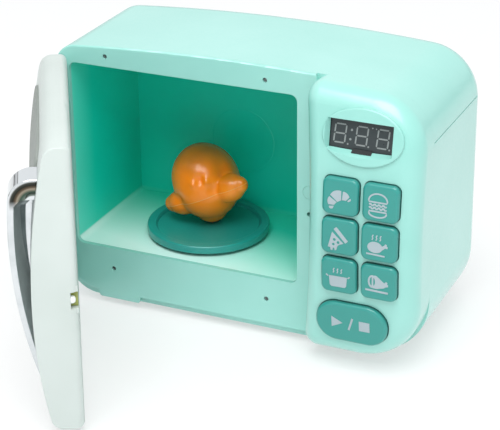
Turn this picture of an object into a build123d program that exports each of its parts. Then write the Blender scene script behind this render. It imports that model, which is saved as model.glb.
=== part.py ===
from build123d import *
from math import sqrt, sin, cos, asin
import os

os.makedirs("parts", exist_ok=True)

# Toy microwave oven. All lengths are millimetres.
# X runs to the right along the front, Y runs from the front to the back, Z runs up from the table.
# The pieces are laid out from the middle of the housing's footprint. finish() then moves them so
# that the origin lies on the table, at the centre of the front left foot's underside.

# Housing
housing_width = 268.0
housing_depth = 110.0
crown_height = 195.0
crown_sag = 6.5
foot_height = 4.6
shell_wall = 2.4
rim_width = 4.5
seam_height = 158.0
seam_groove = 0.6
back_edge_radius = 20.0
top_left_radius = 17.0
top_right_radius = 36.0
bottom_left_radius = 24.0
bottom_right_radius = 42.0
overrun = 6.0

# Front frame: flat bezel on the left, convex control panel on the right
bezel_thickness = 3.0
bezel_rise = 4.6
bezel_edge_radius = 1.2
lip_centre = -91.8
lip_width = 32.0
lip_radius = 2.0
panel_left = 53.0
panel_bow = 7.3
panel_depth = 28.5
panel_wall = 2.6
panel_arc_radius = 425.0
panel_arc_height = 90.0
panel_edge_radius = 14.0
panel_left_radius = 9.0

# Oven opening and the liner behind it
opening_left = -123.4
opening_width = 166.2
opening_bottom = 43.7
opening_height = 134.0
opening_radius = 5.0
cavity_depth = 98.0
liner_wall = 2.0
liner_radius = 3.0
liner_flange = 3.0

# Small screws in the bezel
bezel_screw_left = -95.5
bezel_screw_right = 20.4
bezel_screw_low = 28.0
bezel_screw_high = 184.9
bezel_screw_head = 1.4
bezel_screw_shank = 0.9
bezel_screw_length = 6.0
bezel_screw_sink = 0.6

# Raised display surround and display
display_x = 95.8
display_z = 165.4
surround_half_width = 27.0
surround_half_height = 18.5
surround_height = 1.4
surround_radius = 0.9
window_left = 70.8
window_right = 115.6
window_top = 175.2
window_bottom = 155.4
window_sag = 2.6
window_back_left = 72.9
window_back_right = 114.3
window_back_top = 174.4
window_back_bottom = 156.6
window_back_sag = 0.4
display_gap = 1.0
display_margin = 1.2

# Buttons
button_left_x = 84.3
button_right_x = 111.0
button_high_z = 126.8
button_middle_z = 99.9
button_low_z = 72.5
button_width = 24.0
button_height = 24.4
button_radius = 4.6
start_x = 92.2
start_z = 38.3
start_width = 48.6
start_height = 29.0
start_radius = 14.0
button_proud = 4.0
button_wall = 1.6
button_clearance = 0.35
button_edge_radius = 2.1
button_travel = 1.5
flange_lip = 0.9
flange_inset = 1.0
flange_thickness = 1.4
flange_clearance = 0.4
stem_radius = 2.2
switch_size = 6.0
switch_height = 3.5
actuator_radius = 1.75
actuator_height = 1.5
press_clearance = 0.3

# Control board behind the panel
board_setback = 9.0
board_thickness = 1.6
board_left = 63.6
board_right = 130.4
board_low = 28.0
board_high = 176.0
board_top_radius = 26.0
board_low_radius = 30.0
post_radius = 2.9
post_left_x = 66.6
post_right_x = 127.4
post_low_z = 58.0
post_high_z = 134.0
board_screw_head = 2.6
board_screw_shank = 1.2
board_screw_length = 7.0
board_screw_cap = 1.6

# Door and its hinge
door_open_angle = 59.6
door_left = -132.7
door_bottom = 4.0
door_top_inset = 3.0
door_gap = 1.0
door_back_gap = 0.8
door_wall = 3.0
door_stile = 15.0
door_panel_thickness = 2.0
door_edge_radius = 8.5
door_free_edge_radius = 0.8
door_top_left_radius = 15.0
door_bottom_left_radius = 20.0
door_inner_radius = 4.5
door_core_radius = 6.0
seat_gap = 0.2
glass_left = -108.0
glass_right = 24.0
glass_bottom = 32.0
glass_top_inset = 14.0
glass_radius = 14.0
glass_thickness = 3.0
glass_proud = 1.6
glass_edge_radius = 1.0
glass_ledge = 7.0
hinge_inset = 5.2
hinge_depth = 5.7
ear_radius = 3.0
ear_height = 6.0
ear_low = 34.0
ear_high = 150.0
ear_clearance = 0.5
pin_radius = 1.5
pin_reach = 8.0
pin_fit = 0.05
pocket_radius = 7.4

# Door handle, measured outwards from the door's inner face and up from the table
handle_x = 38.3
handle_width = 20.0
handle_root = 10.0
handle_shoulder = 24.0
handle_knee = 35.0
handle_knee_drop = 5.4
handle_reach = 38.5
handle_reach_drop = 14.7
handle_waist = 37.8
handle_waist_z = 100.0
handle_tail = 25.8
handle_low = 41.0
handle_high = 170.5
handle_strap = 3.8
handle_gap_low = 54.0
handle_gap_high = 157.8
handle_gap_corner = 4.0
handle_web = 6.5
handle_edge_radius = 1.2
handle_screw_z = 164.2
handle_screw_spacing = 10.0
handle_screw_head = 3.0
handle_screw_shank = 1.3
handle_screw_cap = 1.8
handle_screw_length = 12.0

# Catch nose in the door's free edge, the small hole below the plunger, and the door switch
catch_z = 96.0
catch_block = 9.0
catch_block_height = 18.0
catch_block_depth = 11.0
notch_height = 11.0
notch_depth = 4.6
notch_width = 5.0
catch_radius = 2.4
catch_round = 1.9
catch_length = 3.0
catch_shank_radius = 1.5
catch_shank_length = 5.0
keeper_x = 51.3
keeper_radius = 1.6
plunger_x = 51.4
plunger_z = 111.6
plunger_radius = 4.6
plunger_fit = 0.08
plunger_proud = 0.4
plunger_length = 7.0
plunger_flange = 0.6
plunger_flange_thickness = 1.2
plunger_travel = 2.0
plunger_gap = 0.3
plunger_edge_radius = 0.6
door_switch_width = 11.0
door_switch_height = 10.0
door_switch_depth = 6.0

# Turntable and its drive
table_x = -46.5
table_back = 52.0
plate_radius = 43.1
plate_gap = 2.6
plate_rim_height = 5.2
plate_rim_width = 6.0
plate_dish = 2.3
plate_thickness = 1.8
plate_rim_radius = 1.0
hub_radius = 8.0
hub_gap = 0.5
hex_radius = 5.0
hex_height = 3.0
hex_clearance = 0.12
shaft_radius = 2.5
shaft_fit = 0.06
gearbox_width = 50.0
gearbox_length = 40.0
gearbox_height = 20.0
gearbox_radius = 4.0
gearbox_boss = 7.0
shaft_depth = 14.0
motor_radius = 10.0
motor_length = 24.0
motor_tail_radius = 3.0
motor_tail_length = 2.0

# Play chicken on the turntable
chicken_left = 4.0
chicken_back = 1.0
chicken_girth = 25.5
chicken_half_length = 29.0
chicken_seat_gap = 0.3
chicken_flat = 0.5
chicken_roll = 24.0
leg_reach = 35.5
leg_root_radius = 12.0
leg_end_radius = 6.5
leg_forward = 12.0
leg_sweep = 4.0
tail_radius = 6.0
tail_reach = 5.0
tail_taper = 5.0

# Base tray, batteries and feet
tray_left = -84.0
tray_right = 66.0
tray_front_inset = 15.0
tray_back_inset = 25.0
tray_radius = 6.0
tray_gap = 0.3
tray_flange = 4.0
tray_flange_thickness = 2.0
battery_radius = 7.1
battery_length = 49.0
battery_nub_radius = 2.7
battery_nub_length = 1.3
battery_pitch = 15.0
battery_count = 3
battery_x = 12.0
battery_y = 0.0
battery_gap = 0.3
bay_wall = 1.6
bay_end_gap = 2.4
contact_thickness = 0.4
contact_width = 10.0
contact_bump = 1.0
bay_door_thickness = 2.0
bay_door_ledge = 2.0
bay_door_screw_head = 2.6
bay_door_screw_shank = 1.2
bay_door_screw_cap = 1.2
bay_door_screw_length = 8.0
bay_door_tab = 4.5
bay_door_tab_width = 12.0
foot_radius = 8.0
foot_edge_radius = 1.2
foot_left_x = -98.0
foot_right_x = 80.0
foot_front_inset = 15.0
foot_back_inset = 24.0

# Speaker and cavity lamp
speaker_x = 92.0
speaker_z = 112.0
speaker_radius = 20.0
speaker_depth = 7.0
speaker_lip = 2.0
speaker_taper = 35.0
magnet_radius = 11.0
magnet_depth = 7.0
grille_hole_radius = 1.3
grille_ring_holes = [1, 6, 12]
grille_rings_share = [0.0, 0.34, 0.68]
lamp_x = -40.0
lamp_front = 9.0
lens_radius = 6.0
lens_lip = 2.0
lens_lip_height = 1.2
lamp_radius = 11.0
lamp_height = 8.0
lamp_wall = 1.2
led_radius = 2.5
led_height = 4.0

# Rear screws
rear_screw_left_x = -104.0
rear_screw_right_x = 84.0
rear_screw_low = 34.0
rear_screw_high = 174.0
rear_screw_head = 3.2
rear_screw_cap = 2.2
rear_screw_shank = 1.5
rear_screw_length = 6.0
rear_screw_sink = 3.0
rear_boss_radius = 5.0
rear_boss_depth = 7.2

# Places worked out from the sizes above
half_width = housing_width / 2
front_y = -housing_depth / 2
back_y = housing_depth / 2
shell_front = front_y + bezel_thickness
crown_radius = (half_width**2 + crown_sag**2) / (2 * crown_sag)
base_z = foot_height
bezel_bottom = base_z + bezel_rise
middle_z = (crown_height + base_z) / 2
panel_centre_y = front_y - panel_depth + panel_arc_radius
opening_right = opening_left + opening_width
opening_top = opening_bottom + opening_height
opening_x = opening_left + opening_width / 2
opening_z = opening_bottom + opening_height / 2
board_front = front_y - board_setback
hinge_x = door_left + hinge_inset
hinge_y = front_y - door_back_gap - hinge_depth
door_back = front_y - door_back_gap
table_y = front_y + table_back
lamp_y = table_y - lamp_front
foot_front_y = front_y + foot_front_inset
foot_back_y = back_y - foot_back_inset
cavity_floor = opening_bottom
plate_bottom = cavity_floor + plate_gap
plate_top = plate_bottom + plate_rim_height
dish_top = plate_top - plate_dish
hinge_line = Axis((hinge_x, hinge_y, 0), (0, 0, 1))


def front_plane(y):
    """Plane facing the viewer at depth y: local x is X, local y is Z, and it extrudes forwards."""
    return Plane.XZ.offset(-y)


def side_plane(x):
    """Plane at x, seen from the right: local x is Y, local y is Z, and it extrudes to the right."""
    return Plane.YZ.offset(x)


def arch_z(x, inset=0.0):
    """Height of the arched roof at x, lowered by inset."""
    return crown_height - inset - crown_radius + sqrt(crown_radius**2 - x**2)


def panel_y(z, offset=0.0):
    """Depth of the convex front face at height z, moved outwards by offset."""
    return panel_centre_y - sqrt((panel_arc_radius + offset) ** 2 - (z - panel_arc_height) ** 2)


def bow_share(z):
    """Share of a side's full bow at height z: one at mid height and none at the top."""
    share = (z - middle_z) / (crown_height - middle_z)
    return 1 - share**2


def edge_x(z):
    """Bowed line between the door and the control panel."""
    return panel_left + panel_bow * bow_share(z)


def arched_sketch(y, left, right, bottom, inset, corners, left_bow=0.0, right_bow=0.0):
    """Face in the front plane at y with an arched top. Corners are top left, top right,
    bottom left and bottom right radii, and each side can bow to the right."""
    top_left = (left, arch_z(left, inset))
    top_right = (right, arch_z(right, inset))
    low_left = (left + left_bow * bow_share(bottom), bottom)
    low_right = (right + right_bow * bow_share(bottom), bottom)
    centre = (left + right) / 2
    with BuildSketch(front_plane(y)) as face:
        with BuildLine():
            ThreePointArc(top_left, (centre, arch_z(centre, inset)), top_right)
            if right_bow:
                ThreePointArc(top_right, (right + right_bow, middle_z), low_right)
            else:
                Line(top_right, low_right)
            Line(low_right, low_left)
            if left_bow:
                ThreePointArc(low_left, (left + left_bow, middle_z), top_left)
            else:
                Line(low_left, top_left)
        make_face()
        for point, radius in zip((top_left, top_right, low_left, low_right), corners):
            if radius > 0:
                fillet(face.vertices().sort_by_distance((point[0], point[1], 0))[0], radius)
    return face.sketch


def convex_sketch(x, offset, back):
    """Side view of everything behind the convex front face, as far as the plane y = back."""
    low = -overrun
    high = crown_height + overrun
    with BuildSketch(side_plane(x)) as face:
        with BuildLine():
            ThreePointArc(
                (panel_y(low, offset), low),
                (panel_y(middle_z, offset), middle_z),
                (panel_y(high, offset), high),
            )
            Polyline(
                (panel_y(high, offset), high),
                (back, high),
                (back, low),
                (panel_y(low, offset), low),
            )
        make_face()
    return face.sketch


def shell_sketch(inset):
    """Outline of the housing where it meets the front frame, drawn inwards by inset."""
    corners = (
        top_left_radius - inset,
        top_right_radius - inset,
        bottom_left_radius - inset,
        bottom_right_radius - inset,
    )
    return arched_sketch(
        shell_front, -half_width + inset, half_width - inset, base_z + inset, inset, corners
    )


def rounded_block(y, amount, x, z, width, height, radius):
    """Rounded rectangle centred on x, z in the front plane at y, extruded forwards by amount."""
    with BuildPart() as block:
        with BuildSketch(front_plane(y)):
            with Locations((x, z)):
                RectangleRounded(width, height, radius)
        extrude(amount=amount)
    return block.part


def screw(head_radius, head_height, shank_radius, length):
    """Pan-head screw along local Z: the head's underside is at zero and the shank goes down."""
    with BuildPart() as one:
        with BuildSketch():
            Circle(shank_radius)
        extrude(amount=-length)
        with BuildSketch():
            Circle(head_radius)
        extrude(amount=head_height)
        fillet(one.faces().sort_by(Axis.Z)[-1].edges(), head_height / 2)
    return one.part


def finish(piece, name):
    """Move a finished piece so that the origin is under the front left foot, and write it out."""
    placed = piece.moved(Location((-foot_left_x, -foot_front_y, 0)))
    placed.label = name
    export_step(placed, f"parts/{name}.step")
    print(name, len(placed.solids()), "solid", round(placed.volume), "mm3")


def swung_open(piece):
    """The door is modelled closed and then swung about its hinge to its opened place."""
    return piece.rotate(hinge_line, -door_open_angle)


bezel_screws = [
    (x, z) for x in (bezel_screw_left, bezel_screw_right) for z in (bezel_screw_low, bezel_screw_high)
]

# Housing shell. It is hollowed, keeps a rim behind the front frame, and is parted at the seam.
with BuildPart() as hollow:
    extrude(shell_sketch(shell_wall), amount=-(back_y - shell_wall - shell_front))
    fillet(hollow.faces().sort_by(Axis.Y)[-1].edges(), back_edge_radius - shell_wall)

with BuildPart() as rim:
    extrude(shell_sketch(shell_wall), amount=-shell_wall)
    extrude(shell_sketch(shell_wall + rim_width), amount=-shell_wall, mode=Mode.SUBTRACT)
    with BuildSketch(front_plane(shell_front)):
        with Locations(*bezel_screws):
            Circle(bezel_screw_shank)
    extrude(amount=-shell_wall, mode=Mode.SUBTRACT)

with BuildPart() as housing_shell:
    extrude(shell_sketch(0.0), amount=-(back_y - shell_front))
    fillet(housing_shell.faces().sort_by(Axis.Y)[-1].edges(), back_edge_radius)
    add(hollow.part, mode=Mode.SUBTRACT)
    add(rim.part)

rear_plane = Plane(origin=(0, back_y, 0), x_dir=(-1, 0, 0), z_dir=(0, 1, 0))
high_screws = [(-x, rear_screw_high) for x in (rear_screw_left_x, rear_screw_right_x)]
low_screws = [(-x, rear_screw_low) for x in (rear_screw_left_x, rear_screw_right_x)]
with BuildPart() as top_cover:
    add(housing_shell.part)
    split(bisect_by=Plane.XY.offset(seam_height), keep=Keep.TOP)
    with BuildSketch(rear_plane.offset(-shell_wall)):
        with Locations(*high_screws):
            Circle(rear_boss_radius)
    extrude(amount=-rear_boss_depth)
    with Locations(rear_plane):
        with Locations(*high_screws):
            CounterBoreHole(
                rear_screw_shank,
                rear_screw_head + seat_gap,
                rear_screw_sink,
                depth=rear_screw_sink + rear_screw_length,
            )
    with BuildSketch(Plane.XY.offset(seam_height)):
        with Locations((0, (back_y + shell_front) / 2)):
            Rectangle(housing_width, back_y - shell_front)
        with Locations((0, (back_y + shell_front) / 2 - seam_groove)):
            Rectangle(
                housing_width - 2 * seam_groove, back_y - shell_front, mode=Mode.SUBTRACT
            )
    extrude(amount=seam_groove, mode=Mode.SUBTRACT)

tray_front = front_y + tray_front_inset
tray_back = back_y - tray_back_inset
tray_width = tray_right - tray_left
tray_length = tray_back - tray_front
tray_x = (tray_right + tray_left) / 2
tray_y = (tray_back + tray_front) / 2
grille_spots = []
for holes, share in zip(grille_ring_holes, grille_rings_share):
    for step in range(holes):
        turn = 360.0 * step / holes
        spot = Vector(speaker_radius * share, 0).rotate(Axis.Z, turn)
        grille_spots.append((spot.X, spot.Y))

with BuildPart() as rear_housing:
    add(housing_shell.part)
    split(bisect_by=Plane.XY.offset(seam_height), keep=Keep.BOTTOM)
    with BuildSketch(rear_plane.offset(-shell_wall)):
        with Locations(*low_screws):
            Circle(rear_boss_radius)
    extrude(amount=-rear_boss_depth)
    with Locations(rear_plane):
        with Locations(*low_screws):
            CounterBoreHole(
                rear_screw_shank,
                rear_screw_head + seat_gap,
                rear_screw_sink,
                depth=rear_screw_sink + rear_screw_length,
            )
    with BuildSketch(rear_plane):
        with Locations((-speaker_x, speaker_z)):
            with Locations(*grille_spots):
                Circle(grille_hole_radius)
    extrude(amount=-shell_wall, mode=Mode.SUBTRACT)
    with BuildSketch(Plane.XY.offset(base_z)):
        with Locations((tray_x, tray_y)):
            RectangleRounded(tray_width, tray_length, tray_radius)
    extrude(amount=shell_wall, mode=Mode.SUBTRACT)

finish(top_cover.part, "top_cover")
finish(rear_housing.part, "rear_housing")

# Front frame. The control panel is a hollow block with a convex face, a bowed left side and
# rounded edges, and the bezel beside it is a flat plate that carries the hinge ears.
with BuildPart() as panel_block:
    extrude(
        arched_sketch(
            shell_front,
            panel_left,
            half_width,
            bezel_bottom,
            0.0,
            (0, top_right_radius, 0, bottom_right_radius),
            left_bow=panel_bow,
        ),
        amount=panel_depth + overrun,
    )
    extrude(convex_sketch(0.0, 0.0, shell_front), amount=housing_width, mode=Mode.INTERSECT)
    face_edges = panel_block.faces().sort_by(Axis.Y)[0].edges()
    left_edge = face_edges.sort_by(Axis.X)[0]
    fillet([edge for edge in face_edges if edge is not left_edge], panel_edge_radius)
    fillet(panel_block.faces().sort_by(Axis.Y)[0].edges().sort_by(Axis.X)[0], panel_left_radius)

with BuildPart() as panel_core:
    extrude(
        arched_sketch(
            shell_front,
            panel_left + panel_wall,
            half_width - panel_wall,
            bezel_bottom + panel_wall,
            panel_wall,
            (0, top_right_radius - panel_wall, 0, bottom_right_radius - panel_wall),
            left_bow=panel_bow,
        ),
        amount=panel_depth + overrun,
    )
    extrude(convex_sketch(0.0, -panel_wall, shell_front), amount=housing_width, mode=Mode.INTERSECT)
    core_edges = panel_core.faces().sort_by(Axis.Y)[0].edges()
    core_left = core_edges.sort_by(Axis.X)[0]
    fillet([edge for edge in core_edges if edge is not core_left], panel_edge_radius - panel_wall)
    fillet(
        panel_core.faces().sort_by(Axis.Y)[0].edges().sort_by(Axis.X)[0],
        panel_left_radius - panel_wall,
    )

# The display surround is square to the panel's face, so it leans back with it.
lean = asin((display_z - panel_arc_height) / panel_arc_radius)
display_plane = Plane(
    origin=(display_x, panel_y(display_z), display_z), x_dir=(1, 0, 0), z_dir=(0, -cos(lean), sin(lean))
)
surround_depth = panel_wall + surround_height
with BuildPart() as surround:
    with BuildSketch(display_plane.offset(surround_height)):
        Ellipse(surround_half_width, surround_half_height)
    extrude(amount=-surround_depth)
    fillet(surround.faces().sort_by(Axis((0, 0, 0), display_plane.z_dir))[-1].edges(), surround_radius)

window_x = (window_left + window_right) / 2 - display_x


def window_outline(depth, left, right, bottom, top, sag):
    """Display window in the leaning plane at a depth, with a bottom edge that sags in the middle."""
    low = (bottom - display_z) / cos(lean)
    high = (top - display_z) / cos(lean)
    near = left - display_x
    far = right - display_x
    with BuildSketch(display_plane.offset(depth)) as face:
        with BuildLine():
            Polyline((near, low), (near, high), (far, high), (far, low))
            ThreePointArc((far, low), ((near + far) / 2, low - sag), (near, low))
        make_face()
    return face.sketch


front_outline = window_outline(
    surround_height, window_left, window_right, window_bottom, window_top, window_sag
)
back_outline = window_outline(
    -panel_wall,
    window_back_left,
    window_back_right,
    window_back_bottom,
    window_back_top,
    window_back_sag,
)
with BuildPart() as window_cut:
    loft([front_outline.face(), back_outline.face()])
    extrude(front_outline, amount=overrun)
    extrude(back_outline, amount=-overrun)

# name, centre x, centre z, width, height, corner radius
buttons = [
    ("button_croissant", button_left_x, button_high_z, button_width, button_height, button_radius),
    ("button_burger", button_right_x, button_high_z, button_width, button_height, button_radius),
    ("button_pizza", button_left_x, button_middle_z, button_width, button_height, button_radius),
    ("button_roast", button_right_x, button_middle_z, button_width, button_height, button_radius),
    ("button_pot", button_left_x, button_low_z, button_width, button_height, button_radius),
    ("button_ham", button_right_x, button_low_z, button_width, button_height, button_radius),
    ("start_stop_button", start_x, start_z, start_width, start_height, start_radius),
]
posts = [(x, z) for x in (post_left_x, post_right_x) for z in (post_low_z, post_high_z)]
ear_rows = (ear_low, ear_high)

with BuildPart() as panel_posts:
    with BuildSketch(front_plane(board_front)):
        with Locations(*posts):
            Circle(post_radius)
    extrude(amount=panel_depth)
    add(panel_block.part, mode=Mode.INTERSECT)
    with BuildSketch(front_plane(board_front)):
        with Locations(*posts):
            Circle(board_screw_shank)
    extrude(amount=board_screw_length - board_thickness, mode=Mode.SUBTRACT)

with BuildPart() as front_frame:
    extrude(
        arched_sketch(
            shell_front,
            -half_width,
            panel_left + panel_wall,
            bezel_bottom,
            0.0,
            (top_left_radius, 0, bottom_left_radius, 0),
            right_bow=panel_bow,
        ),
        amount=bezel_thickness,
    )
    with BuildSketch(front_plane(shell_front)):
        with Locations((lip_centre, base_z + bezel_rise)):
            RectangleRounded(lip_width, 2 * bezel_rise, lip_radius)
    extrude(amount=bezel_thickness)
    outer_edges = front_frame.faces().sort_by(Axis.Y)[0].edges().filter_by_position(
        Axis.X, -half_width, -half_width + top_left_radius, inclusive=(True, True)
    )
    fillet(outer_edges, bezel_edge_radius)
    add(panel_block.part)
    add(surround.part)
    add(panel_core.part, mode=Mode.SUBTRACT)
    add(panel_posts.part)
    add(window_cut.part, mode=Mode.SUBTRACT)
    for name, x, z, width, height, radius in buttons:
        add(
            rounded_block(
                board_front,
                panel_depth,
                x,
                z,
                width + 2 * button_clearance,
                height + 2 * button_clearance,
                radius + button_clearance,
            ),
            mode=Mode.SUBTRACT,
        )
    with BuildSketch(front_plane(shell_front)):
        with Locations((opening_x, opening_z)):
            RectangleRounded(opening_width, opening_height, opening_radius)
    extrude(amount=bezel_thickness, mode=Mode.SUBTRACT)
    with BuildSketch(front_plane(shell_front)):
        with Locations((plunger_x, plunger_z)):
            Circle(plunger_radius + plunger_fit)
        with Locations((keeper_x, catch_z)):
            Circle(keeper_radius)
    extrude(amount=bezel_thickness, mode=Mode.SUBTRACT)
    with Locations(front_plane(front_y)):
        with Locations(*bezel_screws):
            CounterBoreHole(
                bezel_screw_shank, bezel_screw_head + seat_gap, bezel_screw_sink + bezel_screw_head / 2
            )
    for low in ear_rows:
        with BuildSketch(Plane.XY.offset(low)):
            with Locations((hinge_x, (front_y + hinge_y) / 2)):
                Rectangle(2 * ear_radius, front_y - hinge_y)
            with Locations((hinge_x, hinge_y)):
                Circle(ear_radius)
                Circle(pin_radius, mode=Mode.SUBTRACT)
        extrude(amount=ear_height)

finish(front_frame.part, "front_frame")

# Hinge pins, one through each ear
with BuildPart() as hinge_pins:
    for low in ear_rows:
        with BuildSketch(Plane.XY.offset(low - pin_reach)):
            with Locations((hinge_x, hinge_y)):
                Circle(pin_radius)
        extrude(amount=ear_height + 2 * pin_reach)

finish(hinge_pins.part, "hinge_pins")

# Screws in the corners of the bezel
bezel_screw = screw(bezel_screw_head, bezel_screw_head / 2, bezel_screw_shank, bezel_screw_length)
with BuildPart() as bezel_screws_part:
    with Locations(front_plane(front_y + bezel_screw_sink + bezel_screw_head / 2)):
        with Locations(*bezel_screws):
            add(bezel_screw)

finish(bezel_screws_part.part, "bezel_screws")

# Oven liner: an open box behind the opening, with a flange against the back of the bezel
drive_z = cavity_floor - liner_wall
with BuildPart() as cavity_liner:
    with BuildSketch(front_plane(front_y + cavity_depth + liner_wall)):
        with Locations((opening_x, opening_z)):
            RectangleRounded(
                opening_width + 2 * liner_wall,
                opening_height + 2 * liner_wall,
                liner_radius + liner_wall,
            )
    extrude(amount=cavity_depth + liner_wall - bezel_thickness)
    with BuildSketch(front_plane(shell_front + liner_wall)):
        with Locations((opening_x, opening_z)):
            RectangleRounded(
                opening_width + 2 * liner_flange,
                opening_height + 2 * liner_flange,
                opening_radius + liner_flange,
            )
    extrude(amount=liner_wall)
    with BuildSketch(front_plane(front_y + cavity_depth)):
        with Locations((opening_x, opening_z)):
            RectangleRounded(opening_width, opening_height, liner_radius)
    extrude(amount=cavity_depth - bezel_thickness, mode=Mode.SUBTRACT)
    with BuildSketch(Plane.XY.offset(drive_z)):
        with Locations((table_x, table_y)):
            Circle(gearbox_boss + seat_gap)
    extrude(amount=liner_wall, mode=Mode.SUBTRACT)
    with BuildSketch(Plane.XY.offset(opening_top)):
        with Locations((lamp_x, lamp_y)):
            Circle(lens_radius + seat_gap)
    extrude(amount=liner_wall, mode=Mode.SUBTRACT)

finish(cavity_liner.part, "cavity_liner")

# Cavity lamp above the liner's ceiling, shining through a lens
ceiling_top = opening_top + liner_wall
with BuildPart() as lamp_lens:
    with BuildSketch(Plane.XY.offset(opening_top)):
        with Locations((lamp_x, lamp_y)):
            Circle(lens_radius)
    extrude(amount=liner_wall)
    with BuildSketch(Plane.XY.offset(ceiling_top)):
        with Locations((lamp_x, lamp_y)):
            Circle(lens_radius + lens_lip)
    extrude(amount=lens_lip_height)

with BuildPart() as cavity_lamp:
    with BuildSketch(Plane.XY.offset(ceiling_top)):
        with Locations((lamp_x, lamp_y)):
            Circle(lamp_radius)
            Circle(lamp_radius - lamp_wall, mode=Mode.SUBTRACT)
    extrude(amount=lamp_height)
    with BuildSketch(Plane.XY.offset(ceiling_top + lamp_height)):
        with Locations((lamp_x, lamp_y)):
            Circle(lamp_radius)
    extrude(amount=lamp_wall)
    with BuildSketch(Plane.XY.offset(ceiling_top + lamp_height)):
        with Locations((lamp_x, lamp_y)):
            Circle(led_radius)
    extrude(amount=-led_height)
    fillet(cavity_lamp.faces().filter_by(Axis.Z).sort_by(Axis.Z)[1].edges(), led_radius / 2)

finish(lamp_lens.part, "lamp_lens")
finish(cavity_lamp.part, "cavity_lamp")

# Display module: it stands square to the leaning surround and its back rests on the board
display_recess = panel_wall + display_gap
with BuildPart() as display_module:
    with BuildSketch(display_plane.offset(-display_recess)):
        with Locations((window_x, (window_top + window_bottom - window_sag) / 2 - display_z)):
            Rectangle(
                window_right - window_left + 2 * display_margin,
                window_top - window_bottom + 2 * display_margin + window_sag,
            )
    extrude(amount=-panel_depth)
    split(bisect_by=front_plane(board_front), keep=Keep.TOP)

finish(display_module.part, "display_module")

# Control board with its switches, on four posts behind the panel
board_width = board_right - board_left
board_height = board_high - board_low
with BuildPart() as control_board:
    with BuildSketch(front_plane(board_front + board_thickness)) as board_face:
        with Locations(((board_left + board_right) / 2, (board_low + board_high) / 2)):
            Rectangle(board_width, board_height)
        fillet(board_face.vertices().sort_by_distance((board_right, board_high, 0))[0], board_top_radius)
        fillet(board_face.vertices().sort_by_distance((board_right, board_low, 0))[0], board_low_radius)
        with Locations(*posts):
            Circle(board_screw_shank, mode=Mode.SUBTRACT)
    extrude(amount=board_thickness)

button_spots = [(x, z) for name, x, z, width, height, radius in buttons]
with BuildPart() as key_switches:
    with BuildSketch(front_plane(board_front)):
        with Locations(*button_spots):
            Rectangle(switch_size, switch_size)
    extrude(amount=switch_height)
    with BuildSketch(front_plane(board_front - switch_height)):
        with Locations(*button_spots):
            Circle(actuator_radius)
    extrude(amount=actuator_height)

board_screw = screw(board_screw_head, board_screw_cap, board_screw_shank, board_screw_length)
back_facing = Plane(origin=(0, board_front + board_thickness, 0), x_dir=(-1, 0, 0), z_dir=(0, 1, 0))
with BuildPart() as board_screws:
    with Locations(back_facing):
        with Locations(*[(-x, z) for x, z in posts]):
            add(board_screw)

finish(control_board.part, "control_board")
finish(key_switches.part, "key_switches")

# Buttons: hollow caps with a convex face, retained by lips behind the panel, each with a stem
stem_end = board_front - switch_height - actuator_height - button_travel - press_clearance
back_offset = -(panel_wall + flange_clearance)


def push_button(x, z, width, height, radius):
    """One button cap that slides straight back into the panel."""
    with BuildPart() as lip:
        add(
            rounded_block(
                board_front, panel_depth, x, z, width - 2 * flange_inset, height + 2 * flange_lip, radius
            )
        )
        extrude(convex_sketch(0.0, back_offset, shell_front), amount=housing_width, mode=Mode.INTERSECT)
    with BuildPart() as hollow_core:
        add(
            rounded_block(
                board_front,
                panel_depth + overrun,
                x,
                z,
                width - 2 * button_wall,
                height - 2 * button_wall,
                radius - button_wall,
            )
        )
        extrude(
            convex_sketch(0.0, button_proud - button_wall, shell_front),
            amount=housing_width,
            mode=Mode.INTERSECT,
        )
    with BuildPart() as cap:
        add(rounded_block(board_front, panel_depth + overrun, x, z, width, height, radius))
        extrude(
            convex_sketch(0.0, button_proud, shell_front), amount=housing_width, mode=Mode.INTERSECT
        )
        fillet(cap.faces().sort_by(Axis.Y)[0].edges(), button_edge_radius)
        add(lip.part)
        add(hollow_core.part, mode=Mode.SUBTRACT)
        extrude(
            convex_sketch(0.0, back_offset - flange_thickness, shell_front),
            amount=housing_width,
            mode=Mode.SUBTRACT,
        )
        with BuildSketch(front_plane(stem_end)):
            with Locations((x, z)):
                Circle(stem_radius)
        extrude(amount=stem_end - panel_y(z, button_proud - button_wall / 2))
    return cap.part


for name, x, z, width, height, radius in buttons:
    finish(push_button(x, z, width, height, radius), name)
finish(board_screws.part, "board_screws")

# Rear screws and the speaker behind the rear wall
rear_screw = screw(rear_screw_head, rear_screw_cap, rear_screw_shank, rear_screw_length)
with BuildPart() as rear_screws:
    with Locations(rear_plane.offset(-rear_screw_sink)):
        with Locations(*high_screws, *low_screws):
            add(rear_screw)

finish(rear_screws.part, "rear_screws")

with BuildPart() as speaker:
    with BuildSketch(front_plane(back_y - shell_wall)):
        with Locations((speaker_x, speaker_z)):
            Circle(speaker_radius)
    extrude(amount=speaker_depth, taper=speaker_taper)
    with BuildSketch(front_plane(back_y - shell_wall)):
        with Locations((speaker_x, speaker_z)):
            Circle(speaker_radius + speaker_lip)
    extrude(amount=speaker_lip)
    with BuildSketch(front_plane(back_y - shell_wall - speaker_depth)):
        with Locations((speaker_x, speaker_z)):
            Circle(magnet_radius)
    extrude(amount=magnet_depth)

finish(speaker.part, "speaker")

# Door: a shell whose convex outer face carries on the control panel's, with a solid hinge side
door_right = panel_left - door_gap
glass_top_drop = door_top_inset + glass_top_inset


def door_blank(y, left_inset, inset, corners, offset):
    """Solid behind the door's convex face, from the plane y forwards, drawn in by the insets."""
    with BuildPart() as blank:
        extrude(
            arched_sketch(
                y,
                door_left + left_inset,
                door_right - inset,
                door_bottom + inset,
                door_top_inset + inset,
                corners,
                right_bow=panel_bow,
            ),
            amount=panel_depth + overrun,
        )
        extrude(convex_sketch(-half_width, offset, y), amount=housing_width, mode=Mode.INTERSECT)
    return blank.part


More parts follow.
